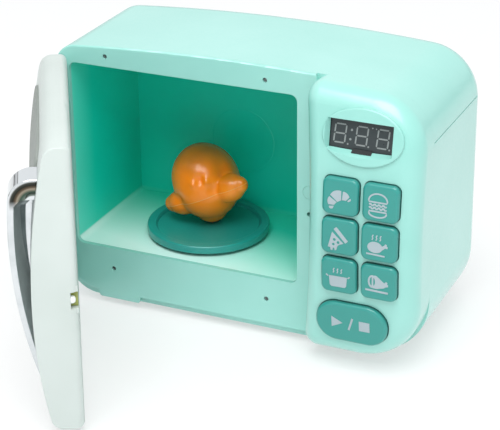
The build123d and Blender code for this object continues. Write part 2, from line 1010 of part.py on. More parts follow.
def window_sketch(y, inset):
    """Outline of the door window, drawn inwards by inset."""
    radius = glass_radius - inset
    return arched_sketch(
        y,
        glass_left + inset,
        glass_right - inset,
        glass_bottom + inset,
        glass_top_drop + inset,
        (radius, radius, radius, radius),
    )


with BuildPart() as glass_pocket:
    extrude(window_sketch(door_back, -seat_gap), amount=panel_depth + overrun)
    extrude(
        convex_sketch(-half_width, glass_proud - glass_thickness, door_back),
        amount=housing_width,
        mode=Mode.SUBTRACT,
    )

with BuildPart() as door_core:
    add(
        door_blank(
            door_back, door_stile, door_wall, (door_core_radius, 0, door_core_radius, 0), -door_wall
        )
    )
    core_face = door_core.faces().sort_by(Axis.Y)[0]
    free_side = core_face.edges().sort_by(Axis.X)[-1]
    fillet([edge for edge in core_face.edges() if edge is not free_side], door_edge_radius - door_wall)

with BuildPart() as door_outer_shell:
    add(
        door_blank(door_back, 0.0, 0.0, (door_top_left_radius, 0, door_bottom_left_radius, 0), 0.0)
    )
    front_edges = door_outer_shell.faces().sort_by(Axis.Y)[0].edges()
    free_edge = front_edges.sort_by(Axis.X)[-1]
    fillet([edge for edge in front_edges if edge is not free_edge], door_edge_radius)
    fillet(
        door_outer_shell.faces().sort_by(Axis.Y)[0].edges().sort_by(Axis.X)[-1], door_free_edge_radius
    )
    fillet(
        door_outer_shell.faces().sort_by(Axis.Y)[-1].edges().sort_by(Axis.X)[0], door_inner_radius
    )
    door_solid = door_outer_shell.part
    add(door_core.part, mode=Mode.SUBTRACT)
    with BuildSketch(front_plane(door_back)):
        with Locations((edge_x(catch_z) - door_gap - catch_block / 2 - door_wall / 2, catch_z)):
            Rectangle(catch_block, catch_block_height)
    extrude(amount=catch_block_depth)
    with BuildSketch(front_plane(door_back)):
        with Locations((edge_x(catch_z) - door_gap - notch_width / 2 + seat_gap, catch_z)):
            Rectangle(notch_width + seat_gap, notch_height)
    extrude(amount=notch_depth, mode=Mode.SUBTRACT)
    with BuildSketch(front_plane(door_back - notch_depth)):
        with Locations((edge_x(catch_z) - door_gap - notch_width / 2, catch_z)):
            Circle(catch_shank_radius)
    extrude(amount=catch_shank_length, mode=Mode.SUBTRACT)
    add(glass_pocket.part, mode=Mode.SUBTRACT)
    extrude(window_sketch(door_back, glass_ledge), amount=panel_depth + overrun, mode=Mode.SUBTRACT)
    for low in ear_rows:
        with BuildSketch(Plane.XY.offset(low - ear_clearance)):
            with Locations((hinge_x, hinge_y)):
                Circle(pocket_radius)
        extrude(amount=ear_height + 2 * ear_clearance, mode=Mode.SUBTRACT)
        with BuildSketch(Plane.XY.offset(low - pin_reach - ear_clearance)):
            with Locations((hinge_x, hinge_y)):
                Circle(pin_radius + pin_fit)
        extrude(amount=ear_height + 2 * pin_reach + 2 * ear_clearance, mode=Mode.SUBTRACT)
    with BuildSketch(front_plane(door_back)):
        with Locations((handle_x, handle_screw_z)):
            with GridLocations(handle_screw_spacing, handle_screw_spacing, 2, 1):
                Circle(handle_screw_shank)
    extrude(amount=panel_depth + overrun, mode=Mode.SUBTRACT)

# Flat panel that closes the door's back, with the same window opening
with BuildPart() as door_inner_panel:
    panel_inset = door_wall + seat_gap
    extrude(
        arched_sketch(
            door_back,
            door_left + door_stile + seat_gap,
            door_right - panel_inset,
            door_bottom + panel_inset,
            door_top_inset + panel_inset,
            (door_core_radius, 0, door_core_radius, 0),
            right_bow=panel_bow,
        ),
        amount=door_panel_thickness,
    )
    with BuildSketch(front_plane(door_back)):
        with Locations((edge_x(catch_z) - door_gap - catch_block / 2 - door_wall / 2, catch_z)):
            Rectangle(catch_block + 2 * seat_gap, catch_block_height + 2 * seat_gap)
    extrude(amount=door_panel_thickness, mode=Mode.SUBTRACT)
    extrude(window_sketch(door_back, glass_ledge), amount=door_panel_thickness, mode=Mode.SUBTRACT)

# Smoked window: a convex pane that stands a little proud of the door's face
with BuildPart() as door_window:
    extrude(window_sketch(door_back, 0.0), amount=panel_depth + overrun)
    extrude(convex_sketch(-half_width, glass_proud, door_back), amount=housing_width, mode=Mode.INTERSECT)
    fillet(door_window.faces().sort_by(Axis.Y)[0].edges(), glass_edge_radius)
    extrude(
        convex_sketch(-half_width, glass_proud - glass_thickness, door_back),
        amount=housing_width,
        mode=Mode.SUBTRACT,
    )


# Handle: a bowed strap that springs from a deep shoulder at the top and runs out into the door
# at the bottom. Its finger gap narrows away from the free edge.
def handle_y(reach):
    """Depth at a given reach out from the door's inner face."""
    return door_back - reach


def handle_gap_sketch(x, inset):
    """Finger gap in the side plane at x, drawn inwards by inset."""
    waist = handle_waist - handle_strap - inset
    knee = handle_reach - handle_strap - inset
    tail = handle_tail - inset
    high = handle_gap_high - inset
    low = handle_gap_low + inset
    with BuildSketch(side_plane(x)) as face:
        with BuildLine():
            Line((handle_y(handle_root), high), (handle_y(knee - handle_gap_corner), high))
            Line(
                (handle_y(knee - handle_gap_corner), high), (handle_y(knee), high - handle_gap_corner)
            )
            ThreePointArc(
                (handle_y(knee), high - handle_gap_corner),
                (handle_y(waist), handle_waist_z),
                (handle_y(tail), low),
            )
            Line((handle_y(tail), low), (handle_y(handle_root), low))
            Line((handle_y(handle_root), low), (handle_y(handle_root), high))
        make_face()
    return face.sketch


with BuildPart() as handle_gap:
    loft(
        [
            handle_gap_sketch(handle_x + handle_width / 2, 0.0).face(),
            handle_gap_sketch(handle_x - handle_width / 2 + handle_strap / 2, handle_web).face(),
        ]
    )

with BuildPart() as door_handle:
    with BuildSketch(side_plane(handle_x - handle_width / 2)):
        with BuildLine():
            Line(
                (handle_y(handle_root), handle_high), (handle_y(handle_shoulder), handle_high)
            )
            ThreePointArc(
                (handle_y(handle_shoulder), handle_high),
                (handle_y(handle_knee), handle_high - handle_knee_drop),
                (handle_y(handle_reach), handle_high - handle_reach_drop),
            )
            ThreePointArc(
                (handle_y(handle_reach), handle_high - handle_reach_drop),
                (handle_y(handle_waist), handle_waist_z),
                (handle_y(handle_tail), handle_low),
            )
            Line((handle_y(handle_tail), handle_low), (handle_y(handle_root), handle_low))
            Line((handle_y(handle_root), handle_low), (handle_y(handle_root), handle_high))
        make_face()
    extrude(amount=handle_width)
    fillet(door_handle.edges().filter_by(GeomType.CIRCLE), handle_edge_radius)
    add(handle_gap.part, mode=Mode.SUBTRACT)
    add(door_solid, mode=Mode.SUBTRACT)
    with BuildSketch(front_plane(door_back)):
        with Locations((handle_x, handle_screw_z)):
            with GridLocations(handle_screw_spacing, handle_screw_spacing, 2, 1):
                Circle(handle_screw_shank)
    extrude(
        amount=handle_screw_length + door_back - panel_y(handle_screw_z, -door_wall),
        mode=Mode.SUBTRACT,
    )

handle_screw = screw(handle_screw_head, handle_screw_cap, handle_screw_shank, handle_screw_length)
screw_seat = panel_y(handle_screw_z + handle_screw_head, -door_wall)
inside_door = Plane(origin=(0, screw_seat, 0), x_dir=(-1, 0, 0), z_dir=(0, 1, 0))
with BuildPart() as handle_screws:
    with Locations(inside_door):
        with Locations((-handle_x, handle_screw_z)):
            with GridLocations(handle_screw_spacing, handle_screw_spacing, 2, 1):
                add(handle_screw)

# Catch: a rounded nose on a short shank, standing in the notch
catch_x = edge_x(catch_z) - door_gap - notch_width / 2
with BuildPart() as door_catch:
    with BuildSketch(front_plane(door_back - notch_depth)):
        with Locations((catch_x, catch_z)):
            Circle(catch_shank_radius)
    extrude(amount=catch_shank_length)
    with BuildSketch(front_plane(door_back - notch_depth)):
        with Locations((catch_x, catch_z)):
            Circle(catch_radius)
    extrude(amount=-catch_length)
    fillet(door_catch.faces().sort_by(Axis.Y)[-1].edges(), catch_round)

for piece, name in (
    (door_outer_shell.part, "door_outer_shell"),
    (door_inner_panel.part, "door_inner_panel"),
    (door_window.part, "door_window"),
    (door_handle.part, "door_handle"),
    (handle_screws.part, "handle_screws"),
    (door_catch.part, "door_catch"),
):
    finish(swung_open(piece), name)

# Door switch: a plunger in the bezel with the switch behind it on the liner's side
with BuildPart() as door_switch_plunger:
    with BuildSketch(front_plane(front_y - plunger_proud + plunger_length)):
        with Locations((plunger_x, plunger_z)):
            Circle(plunger_radius)
    extrude(amount=plunger_length)
    fillet(door_switch_plunger.faces().sort_by(Axis.Y)[0].edges(), plunger_edge_radius)
    with BuildSketch(front_plane(shell_front + plunger_gap + plunger_flange_thickness)):
        with Locations((plunger_x, plunger_z)):
            Circle(plunger_radius + plunger_flange)
    extrude(amount=plunger_flange_thickness)

switch_front = front_y - plunger_proud + plunger_length + plunger_travel + plunger_gap
liner_side = opening_right + liner_wall
with BuildPart() as door_switch:
    with BuildSketch(front_plane(switch_front + door_switch_depth)):
        with Locations((liner_side + door_switch_width / 2, plunger_z)):
            Rectangle(door_switch_width, door_switch_height)
    extrude(amount=door_switch_depth)

finish(door_switch_plunger.part, "door_switch_plunger")
finish(door_switch.part, "door_switch")

# Turntable: a dished plate with a raised rim, on the hexagonal head of the drive shaft
table_axis = Axis((table_x, table_y, 0), (0, 0, 1))
table_section = Plane(origin=(table_x, table_y, 0), x_dir=(1, 0, 0), z_dir=(0, -1, 0))
hub_bottom = cavity_floor + hub_gap
dish_bottom = dish_top - plate_thickness
rim_inner = plate_radius - plate_rim_width
with BuildPart() as turntable_plate:
    with BuildSketch(table_section):
        with BuildLine():
            Polyline(
                (0, hub_bottom),
                (hub_radius, hub_bottom),
                (hub_radius, dish_bottom),
                (rim_inner - plate_thickness, dish_bottom),
                (rim_inner, plate_bottom),
                (plate_radius, plate_bottom),
                (plate_radius, plate_top),
                (rim_inner, plate_top),
                (rim_inner - plate_dish / 2, dish_top),
                (0, dish_top),
                (0, hub_bottom),
            )
        make_face()
    revolve(axis=table_axis)
    fillet(
        turntable_plate.edges().filter_by(GeomType.CIRCLE).group_by(Axis.Z)[-1], plate_rim_radius
    )
    with BuildSketch(Plane.XY.offset(hub_bottom)):
        with Locations((table_x, table_y)):
            RegularPolygon(hex_radius + hex_clearance, 6)
    extrude(amount=hex_height + hex_clearance, mode=Mode.SUBTRACT)

with BuildPart() as drive_coupling:
    with BuildSketch(Plane.XY.offset(hub_bottom + hex_height)):
        with Locations((table_x, table_y)):
            RegularPolygon(hex_radius, 6)
    extrude(amount=-(hex_height + hub_gap - seat_gap))
    with BuildSketch(Plane.XY.offset(cavity_floor + seat_gap)):
        with Locations((table_x, table_y)):
            Circle(shaft_radius)
    extrude(amount=-shaft_depth)

# Geared motor under the oven floor
with BuildPart() as turntable_motor:
    with BuildSketch(Plane.XY.offset(drive_z)):
        with Locations((table_x, table_y)):
            RectangleRounded(gearbox_width, gearbox_length, gearbox_radius)
    extrude(amount=-gearbox_height)
    with BuildSketch(Plane.XY.offset(drive_z)):
        with Locations((table_x, table_y)):
            Circle(gearbox_boss)
    extrude(amount=liner_wall)
    with BuildSketch(Plane.XY.offset(cavity_floor)):
        with Locations((table_x, table_y)):
            Circle(shaft_radius + shaft_fit)
    extrude(amount=-shaft_depth, mode=Mode.SUBTRACT)
    with BuildSketch(side_plane(table_x - gearbox_width / 2)):
        with Locations((table_y, drive_z - gearbox_height / 2)):
            Circle(motor_radius)
    extrude(amount=-motor_length)
    with BuildSketch(side_plane(table_x - gearbox_width / 2 - motor_length)):
        with Locations((table_y, drive_z - gearbox_height / 2)):
            Circle(motor_tail_radius)
    extrude(amount=-motor_tail_length)

finish(turntable_plate.part, "turntable_plate")
finish(drive_coupling.part, "drive_coupling")
finish(turntable_motor.part, "turntable_motor")

# Play chicken: an egg-shaped body with two tapered legs and a tail, moulded in two halves that
# meet in a plane through both legs. It lies rolled to one side on the turntable.
chicken_bottom = dish_top + chicken_seat_gap
chicken_z = chicken_bottom + chicken_girth - chicken_flat
chicken_centre = Vector(table_x - chicken_left, table_y + chicken_back, chicken_z)
across = Vector(1, 0, 0).rotate(Axis.Y, -chicken_roll)
parting_up = Vector(0, 0, 1).rotate(Axis.Y, -chicken_roll)
body_plane = Plane(origin=chicken_centre, x_dir=(0, 1, 0), z_dir=parting_up)


def leg_solid(side):
    """Tapered leg with a rounded end; side is -1 for the left leg and 1 for the right."""
    root = chicken_centre + Vector(0, -leg_forward, 0)
    direction = (across * side * leg_reach + Vector(0, -leg_sweep, 0)).normalized()
    plane = Plane(origin=root, x_dir=direction, z_dir=parting_up)
    bone = leg_reach - leg_end_radius
    with BuildPart() as leg:
        with BuildSketch(plane):
            with BuildLine():
                Line((0, 0), (0, leg_root_radius))
                Line((0, leg_root_radius), (bone, leg_end_radius))
                ThreePointArc(
                    (bone, leg_end_radius),
                    (bone + leg_end_radius * sqrt(0.5), leg_end_radius * sqrt(0.5)),
                    (bone + leg_end_radius, 0),
                )
                Line((bone + leg_end_radius, 0), (0, 0))
            make_face()
        revolve(axis=Axis(root, direction))
    return leg.part


with BuildPart() as chicken_body:
    with BuildSketch(body_plane):
        Ellipse(chicken_half_length, chicken_girth)
        split(bisect_by=Plane.XZ, keep=Keep.BOTTOM)
    revolve(axis=Axis(chicken_centre, (0, 1, 0)))
    add(leg_solid(-1))
    add(leg_solid(1))
    with BuildSketch(Plane(origin=chicken_centre, x_dir=(1, 0, 0), z_dir=(0, -1, 0))):
        Circle(tail_radius)
    extrude(amount=chicken_half_length + tail_reach, taper=tail_taper)
    split(bisect_by=Plane.XY.offset(chicken_bottom), keep=Keep.TOP)

parting_plane = Plane(origin=chicken_centre, x_dir=(0, 1, 0), z_dir=parting_up)
with BuildPart() as chicken_upper_half:
    add(chicken_body.part)
    split(bisect_by=parting_plane, keep=Keep.TOP)

with BuildPart() as chicken_lower_half:
    add(chicken_body.part)
    split(bisect_by=parting_plane, keep=Keep.BOTTOM)

finish(chicken_upper_half.part, "chicken_upper_half")
finish(chicken_lower_half.part, "chicken_lower_half")

# Base tray with the battery bay, its door, the batteries and their contacts
bay_width = battery_count * battery_pitch + 2 * battery_gap
bay_length = battery_length + battery_nub_length + 2 * bay_end_gap
battery_z = base_z + bay_door_thickness + battery_gap + battery_radius
bay_ceiling = battery_z + battery_radius + battery_gap
bay_front = battery_y - bay_length / 2
tray_floor = base_z + shell_wall
tab_y = bay_front - bay_door_ledge - bay_door_tab


def bay_door_sketch(z, gap):
    """Outline of the battery door with its screw tab, drawn inwards by gap."""
    with BuildSketch(Plane.XY.offset(z)) as face:
        with Locations((battery_x, battery_y)):
            Rectangle(
                bay_width + 2 * bay_door_ledge - 2 * gap, bay_length + 2 * bay_door_ledge - 2 * gap
            )
        with Locations((battery_x, (tab_y - bay_door_tab + battery_y) / 2)):
            Rectangle(bay_door_tab_width - 2 * gap, battery_y - tab_y + bay_door_tab - 2 * gap)
    return face.sketch


with BuildPart() as base_tray:
    with BuildSketch(Plane.XY.offset(base_z)):
        with Locations((tray_x, tray_y)):
            RectangleRounded(tray_width - 2 * tray_gap, tray_length - 2 * tray_gap, tray_radius)
    extrude(amount=shell_wall)
    with BuildSketch(Plane.XY.offset(tray_floor)):
        with Locations((tray_x, tray_y)):
            RectangleRounded(tray_width + 2 * tray_flange, tray_length + 2 * tray_flange, tray_radius)
    extrude(amount=tray_flange_thickness)
    with BuildSketch(Plane.XY.offset(base_z)):
        with Locations((battery_x, battery_y)):
            Rectangle(bay_width + 2 * bay_wall, bay_length + 2 * bay_wall)
    extrude(amount=bay_ceiling + bay_wall - base_z)
    with BuildSketch(Plane.XY.offset(tray_floor)):
        with Locations((battery_x, tab_y)):
            Circle(bay_door_screw_shank + bay_wall)
    extrude(amount=bay_door_screw_length)
    with BuildSketch(Plane.XY.offset(base_z)):
        with Locations((battery_x, battery_y)):
            Rectangle(bay_width, bay_length)
    extrude(amount=bay_ceiling - base_z, mode=Mode.SUBTRACT)
    extrude(bay_door_sketch(base_z, 0.0), amount=bay_door_thickness, mode=Mode.SUBTRACT)
    with BuildSketch(Plane.XY.offset(base_z)):
        with Locations((battery_x, tab_y)):
            Circle(bay_door_screw_shank)
    extrude(amount=bay_door_screw_length, mode=Mode.SUBTRACT)

with BuildPart() as battery_door:
    extrude(bay_door_sketch(base_z, tray_gap), amount=bay_door_thickness)
    with BuildSketch(Plane.XY.offset(base_z)):
        with Locations((battery_x, tab_y)):
            Circle(bay_door_screw_head)
    extrude(amount=bay_door_screw_cap, mode=Mode.SUBTRACT)
    with BuildSketch(Plane.XY.offset(base_z)):
        with Locations((battery_x, tab_y)):
            Circle(bay_door_screw_shank)
    extrude(amount=bay_door_thickness, mode=Mode.SUBTRACT)

with BuildPart() as battery_screw:
    with BuildSketch(Plane.XY.offset(base_z)):
        with Locations((battery_x, tab_y)):
            Circle(bay_door_screw_head)
    extrude(amount=bay_door_screw_cap)
    with BuildSketch(Plane.XY.offset(base_z + bay_door_screw_cap)):
        with Locations((battery_x, tab_y)):
            Circle(bay_door_screw_shank)
    extrude(amount=bay_door_screw_length - bay_door_screw_cap)

battery_spots = [
    (battery_x + (index - (battery_count - 1) / 2) * battery_pitch, battery_z)
    for index in range(battery_count)
]
with BuildPart() as batteries:
    for index, spot in enumerate(battery_spots):
        facing = 1 if index % 2 == 0 else -1
        with BuildSketch(front_plane(battery_y - facing * battery_nub_length / 2)):
            with Locations(spot):
                Circle(battery_radius)
        extrude(amount=battery_length / 2, both=True)
        nub_start = battery_y - facing * (battery_nub_length / 2 - battery_length / 2)
        with BuildSketch(front_plane(nub_start)):
            with Locations(spot):
                Circle(battery_nub_radius)
        extrude(amount=-facing * battery_nub_length)

with BuildPart() as battery_contacts:
    for side in (-1, 1):
        with BuildSketch(front_plane(battery_y + side * bay_length / 2)):
            with Locations(*battery_spots):
                Rectangle(contact_width, contact_width)
        extrude(amount=side * contact_thickness)
        with BuildSketch(front_plane(battery_y + side * (bay_length / 2 - contact_thickness))):
            with Locations(*battery_spots):
                Circle(battery_nub_radius)
        extrude(amount=side * contact_bump)

with BuildPart() as feet:
    with BuildSketch():
        with Locations(*[(x, y) for x in (foot_left_x, foot_right_x) for y in (foot_front_y, foot_back_y)]):
            Circle(foot_radius)
    extrude(amount=foot_height)
    fillet(feet.edges().group_by(Axis.Z)[0], foot_edge_radius)

for piece, name in (
    (base_tray.part, "base_tray"),
    (battery_door.part, "battery_door"),
    (battery_screw.part, "battery_screw"),
    (batteries.part, "batteries"),
    (battery_contacts.part, "battery_contacts"),
    (feet.part, "feet"),
):
    finish(piece, name)
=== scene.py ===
# %% [markdown]
# # A toy microwave, dressed for its portrait
#
# The shapes of this toy come from its CAD model: the housing, the door, the buttons and
# everything inside. This script loads that model as a fixed frame and adds what the CAD
# leaves out: the plastics and the chrome, the printed icons, the digits of the display,
# the softly moulded play chicken, the floor, the light and the camera.
#
# All lengths are metres, X runs to the right, Y runs to the back and Z runs up.

# %% Load the frame
import bmesh
import bpy
import numpy as np
from math import asin, cos, pi, radians, sin, sqrt
from mathutils import Matrix, Vector


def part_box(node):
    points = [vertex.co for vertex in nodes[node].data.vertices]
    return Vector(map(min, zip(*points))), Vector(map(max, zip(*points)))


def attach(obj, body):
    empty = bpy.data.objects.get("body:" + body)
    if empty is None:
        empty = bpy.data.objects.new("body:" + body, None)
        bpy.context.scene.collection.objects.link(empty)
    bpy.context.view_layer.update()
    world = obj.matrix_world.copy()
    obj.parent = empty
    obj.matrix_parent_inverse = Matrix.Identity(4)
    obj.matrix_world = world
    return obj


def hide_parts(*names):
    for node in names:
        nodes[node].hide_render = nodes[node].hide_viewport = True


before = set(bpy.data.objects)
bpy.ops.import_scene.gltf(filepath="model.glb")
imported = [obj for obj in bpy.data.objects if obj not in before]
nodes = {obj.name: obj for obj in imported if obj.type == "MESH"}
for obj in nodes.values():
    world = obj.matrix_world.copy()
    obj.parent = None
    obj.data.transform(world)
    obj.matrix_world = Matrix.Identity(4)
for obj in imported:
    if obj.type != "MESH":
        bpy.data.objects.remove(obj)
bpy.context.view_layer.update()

# %% [markdown]
# Everything below is placed from one point of the toy: on the table, under the middle of
# the front frame and level with the face of its flat bezel. The housing's shell starts
# a little behind that face, so its box gives the depth.

# %% Where the front is
BEZEL_PROUD = 0.003
FACE_X = (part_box("front_frame")[0][0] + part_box("front_frame")[1][0]) / 2
FACE_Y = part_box("rear_housing")[0][1] - BEZEL_PROUD
FACE = Vector((FACE_X, FACE_Y, 0))
print("front at", round(FACE_X, 4), round(FACE_Y, 4))

# %% [markdown]
# ## The camera
#
# The photograph was taken from the right and from above with a long lens. Its place was
# worked out from the straight edges of the front frame. The lens is given as the photo's
# focal length in pixels, and the two shifts move the picture without turning the camera.

# %% Camera
MM = 0.001
PHOTO_WIDTH = 500
PHOTO_HEIGHT = 430
FOCAL_PIXELS = 1746.43
CENTRE_X = 239.84
CENTRE_Y = 158.17
CAMERA_PLACE = FACE + Vector((0.4404, -0.9566, 0.5754))
CAMERA_RIGHT = Vector((0.9111, 0.4120, -0.0114))
CAMERA_UP = Vector((-0.1517, 0.3610, 0.9201))

camera_data = bpy.data.cameras.new("camera")
camera_data.sensor_width = 36
camera_data.lens = FOCAL_PIXELS / PHOTO_WIDTH * camera_data.sensor_width
camera_data.shift_x = (PHOTO_WIDTH / 2 - CENTRE_X) / PHOTO_WIDTH
camera_data.shift_y = (CENTRE_Y - PHOTO_HEIGHT / 2) / PHOTO_WIDTH
camera_data.clip_start = 0.05
camera_data.clip_end = 50
camera = bpy.data.objects.new("camera", camera_data)
turn = Matrix((CAMERA_RIGHT, CAMERA_UP, CAMERA_RIGHT.cross(CAMERA_UP))).transposed()
camera.matrix_world = Matrix.Translation(CAMERA_PLACE) @ turn.to_4x4()
bpy.context.scene.collection.objects.link(camera)
bpy.context.scene.camera = camera
print("lens", round(camera_data.lens, 1), "mm")

# %% [markdown]
# ## Floor, world and light
#
# The photo has an almost white ground and broad soft light from above and in front, which
# is why the roof of the toy nearly glows. One large lamp, high in front and a little to the
# right, makes that light, and the pale world fills the shadows. The floor is an ordinary
# pale surface, so the toy keeps a faint shadow, and it shows itself a little brighter to
# the camera and to reflections.

# %% Floor
FLOOR_SIZE = 12.0
FLOOR_WHITE = (0.93, 0.94, 0.94, 1)
FLOOR_GLOW_SHARE = 0.55
FLOOR_DROP = 0.0002

floor_mesh = bpy.data.meshes.new("floor")
half_floor = FLOOR_SIZE / 2
floor_mesh.from_pydata(
    [
        (-half_floor, -half_floor, 0),
        (half_floor, -half_floor, 0),
        (half_floor, half_floor, 0),
        (-half_floor, half_floor, 0),
    ],
    [],
    [(0, 1, 2, 3)],
)
floor = bpy.data.objects.new("floor", floor_mesh)
floor.location.z = -FLOOR_DROP
bpy.context.scene.collection.objects.link(floor)
print("floor", FLOOR_SIZE, "m wide")

# %% [markdown]
# Before the first material, one small class makes shader sums readable. It wraps a
# socket, so that `1 - mask * 0.5` in Python adds the two Math nodes that compute it.

# %% A socket in a sum
class Wire:
    """A shader socket that can be used in a sum. Every operator adds one Math node."""

    def __init__(self, graph, socket):
        self.graph = graph
        self.socket = socket

    def __add__(self, other):
        return self.graph.maths("ADD", self, other)

    __radd__ = __add__

    def __sub__(self, other):
        return self.graph.maths("SUBTRACT", self, other)

    def __rsub__(self, other):
        return self.graph.maths("SUBTRACT", other, self)

    def __mul__(self, other):
        return self.graph.maths("MULTIPLY", self, other)

    __rmul__ = __mul__

    def __truediv__(self, other):
        return self.graph.maths("DIVIDE", self, other)

    def __gt__(self, other):
        return self.graph.maths("GREATER_THAN", self, other)

    def __lt__(self, other):
        return self.graph.maths("LESS_THAN", self, other)

    def __pow__(self, other):
        return self.graph.maths("POWER", self, other)

    def __abs__(self):
        return self.graph.maths("ABSOLUTE", self)


print("sockets can be added, multiplied, compared and more")

# %% [markdown]
# The second class holds a node tree. Its method `node` adds a node of any type: it makes
# the node's settings first and then sets or links its inputs. Math, the colour Mix and Map
# Range are needed so often that each gets a method of its own.

# %% A node tree
class Graph:
    """A node tree that starts empty."""

    def __init__(self, tree):
        self.tree = tree
        self.tree.nodes.clear()

    def join(self, socket, value):
        if isinstance(value, Wire):
            self.tree.links.new(value.socket, socket)
        else:
            socket.default_value = value

    def node(self, kind, settings=None, inputs=None, output=0):
        """Any node: its settings are made first, then its inputs are set or linked."""
        made = self.tree.nodes.new(kind)
        for key, value in (settings or {}).items():
            if key == "stops":
                self.set_stops(made.color_ramp, value)
            else:
                setattr(made, key, value)
        for key, value in (inputs or {}).items():
            self.join(made.inputs[key], value)
        return Wire(self, made.outputs[output])

    def set_stops(self, ramp, stops):
        while len(ramp.elements) < len(stops):
            ramp.elements.new(0.5)
        for element, (place, colour) in zip(ramp.elements, stops):
            element.position = place
            element.color = colour

    def maths(self, operation, first, second=0.0):
        return self.node("ShaderNodeMath", {"operation": operation}, {0: first, 1: second})

    def blend(self, factor, first, second, kind="MIX"):
        """Colour mix: the first colour where the factor is 0, the second where it is 1."""
        settings = {"data_type": "RGBA", "blend_type": kind, "clamp_factor": True}
        return self.node("ShaderNodeMix", settings, {0: factor, 6: first, 7: second}, output=2)

    def spread(self, value, low, high, start=0.0, end=1.0):
        """Maps low..high of a value to start..end, and stops there."""
        inputs = {0: value, 1: low, 2: high, 3: start, 4: end}
        return self.node("ShaderNodeMapRange", {"clamp": True}, inputs)


print("node trees can be written as sums")

# %% [markdown]
# The third class is the tree of one material, with its Principled shader and the patterns
# that most plastics here share. All patterns use object coordinates in metres, so a scale
# is a number of bumps per metre on every piece, and nothing has to be unwrapped.

# %% One material
DRIFT_SCALE = 14
PEEL_SCALE = 520
GRAIN_SCALE = 3200
DRIFT_RANGE = (0.32, 0.68)
SHEEN_RANGE = (0.3, 0.7)
EDGE_RANGE = (0.72, 0.995)


class Finish(Graph):
    """One material. What varies over the surface is fed to its shader with feed."""

    def __init__(self, name):
        self.material = bpy.data.materials.new(name)
        self.material.use_nodes = True
        super().__init__(self.material.node_tree)
        self.shader = self.tree.nodes.new("ShaderNodeBsdfPrincipled")
        self.end = self.tree.nodes.new("ShaderNodeOutputMaterial")
        self.tree.links.new(self.shader.outputs["BSDF"], self.end.inputs["Surface"])

    def feed(self, **sockets):
        """Sets or links inputs of the shader: base_color stands for Base Color."""
        for name, value in sockets.items():
            self.join(self.shader.inputs[name.replace("_", " ").title()], value)

    def place(self):
        return self.node("ShaderNodeTexCoord", output="Object")

    def along(self, axis):
        """One coordinate of the toy's own frame, in metres."""
        return self.node("ShaderNodeSeparateXYZ", inputs={0: self.place()}, output=axis)

    def noise(self, scale, detail=2.0, rough=0.5):
        """Noise of a scale in bumps per metre."""
        inputs = {"Vector": self.place(), "Scale": scale, "Detail": detail, "Roughness": rough}
        return self.node("ShaderNodeTexNoise", inputs=inputs)

    def drift(self, deep, pale):
        """Two tints that change into each other over some centimetres."""
        tint = self.noise(DRIFT_SCALE, detail=3)
        return self.blend(self.spread(tint, *DRIFT_RANGE), deep, pale)

    def sheen(self, pattern, low, high):
        """Roughness, or another share, that follows the middle of a noise pattern."""
        return self.spread(pattern, *SHEEN_RANGE, low, high)

    def soft_edges(self, radius):
        return self.node("ShaderNodeBevel", {"samples": 4}, {"Radius": radius}, output="Normal")

    def edge_mask(self, radius):
        """1 on sharp edges, 0 on flat faces: how far the rounded normal leaves the true one."""
        true = self.node("ShaderNodeNewGeometry", output="Normal")
        dot = self.node(
            "ShaderNodeVectorMath",
            {"operation": "DOT_PRODUCT"},
            {0: self.soft_edges(radius), 1: true},
            output="Value",
        )
        return self.spread(dot, *EDGE_RANGE, 1.0, 0.0)

    def bump(self, height, depth, under=None):
        """Bumps of a depth in metres, on top of another normal."""
        inputs = {"Height": height, "Strength": 1.0, "Distance": depth}
        if under:
            inputs["Normal"] = under
        return self.node("ShaderNodeBump", inputs=inputs, output="Normal")


def srgb(red, green, blue):
    """Colour given in 0..255, as the linear colour that shaders use."""
    parts = [c / 255 for c in (red, green, blue)]
    return (*[c / 12.92 if c <= 0.04045 else ((c + 0.055) / 1.055) ** 2.4 for c in parts], 1.0)


print("pale mint as linear values", [round(v, 3) for v in srgb(154, 215, 205)[:3]])

# %% [markdown]
# The floor mixes its own plain shader with an even glow, and only for rays that come from
# the camera, from a mirror or through something clear. As a light it stays a plain surface.

# %% Floor finish
WHITE = (1, 1, 1, 1)

floor_finish = Finish("pale_floor")
seen = floor_finish.node("ShaderNodeLightPath", output="Is Camera Ray")
mirrored = floor_finish.node("ShaderNodeLightPath", output="Is Glossy Ray")
through = floor_finish.node("ShaderNodeLightPath", output="Is Transmission Ray")
shown = (seen + mirrored + through) * FLOOR_GLOW_SHARE
floor_finish.feed(base_color=FLOOR_WHITE, roughness=0.9)
glow = floor_finish.node("ShaderNodeEmission", inputs={"Color": WHITE, "Strength": 1.0})
lit = Wire(floor_finish, floor_finish.shader.outputs["BSDF"])
floor_mix = floor_finish.node("ShaderNodeMixShader", inputs={0: shown, 1: lit, 2: glow})
floor_finish.join(floor_finish.end.inputs["Surface"], floor_mix)
floor_mesh.materials.append(floor_finish.material)
print("floor glow share", FLOOR_GLOW_SHARE)

# %% [markdown]
# The world is a plain pale sky, at full strength where the camera or a mirror looks at it
# and weaker as a light. For mirrors alone it darkens towards the horizon, because chrome
# only looks like chrome when it has something darker to reflect.

# %% World and lamp
WORLD_STRENGTH = 0.74
WORLD_TINT = (0.97, 0.985, 1.0, 1)
SKYLINE = ((0.0, 0.0), (0.02, 0.6), (0.08, 0.62), (0.13, 0.95), (0.2, 1.0), (1.0, 1.0))
KEY_WATTS = 24.0
KEY_SIZE = 1.2
KEY_PLACE = FACE + Vector((0.25, -0.75, 1.6))
KEY_AIM = FACE + Vector((0.0, 0.04, 0.1))

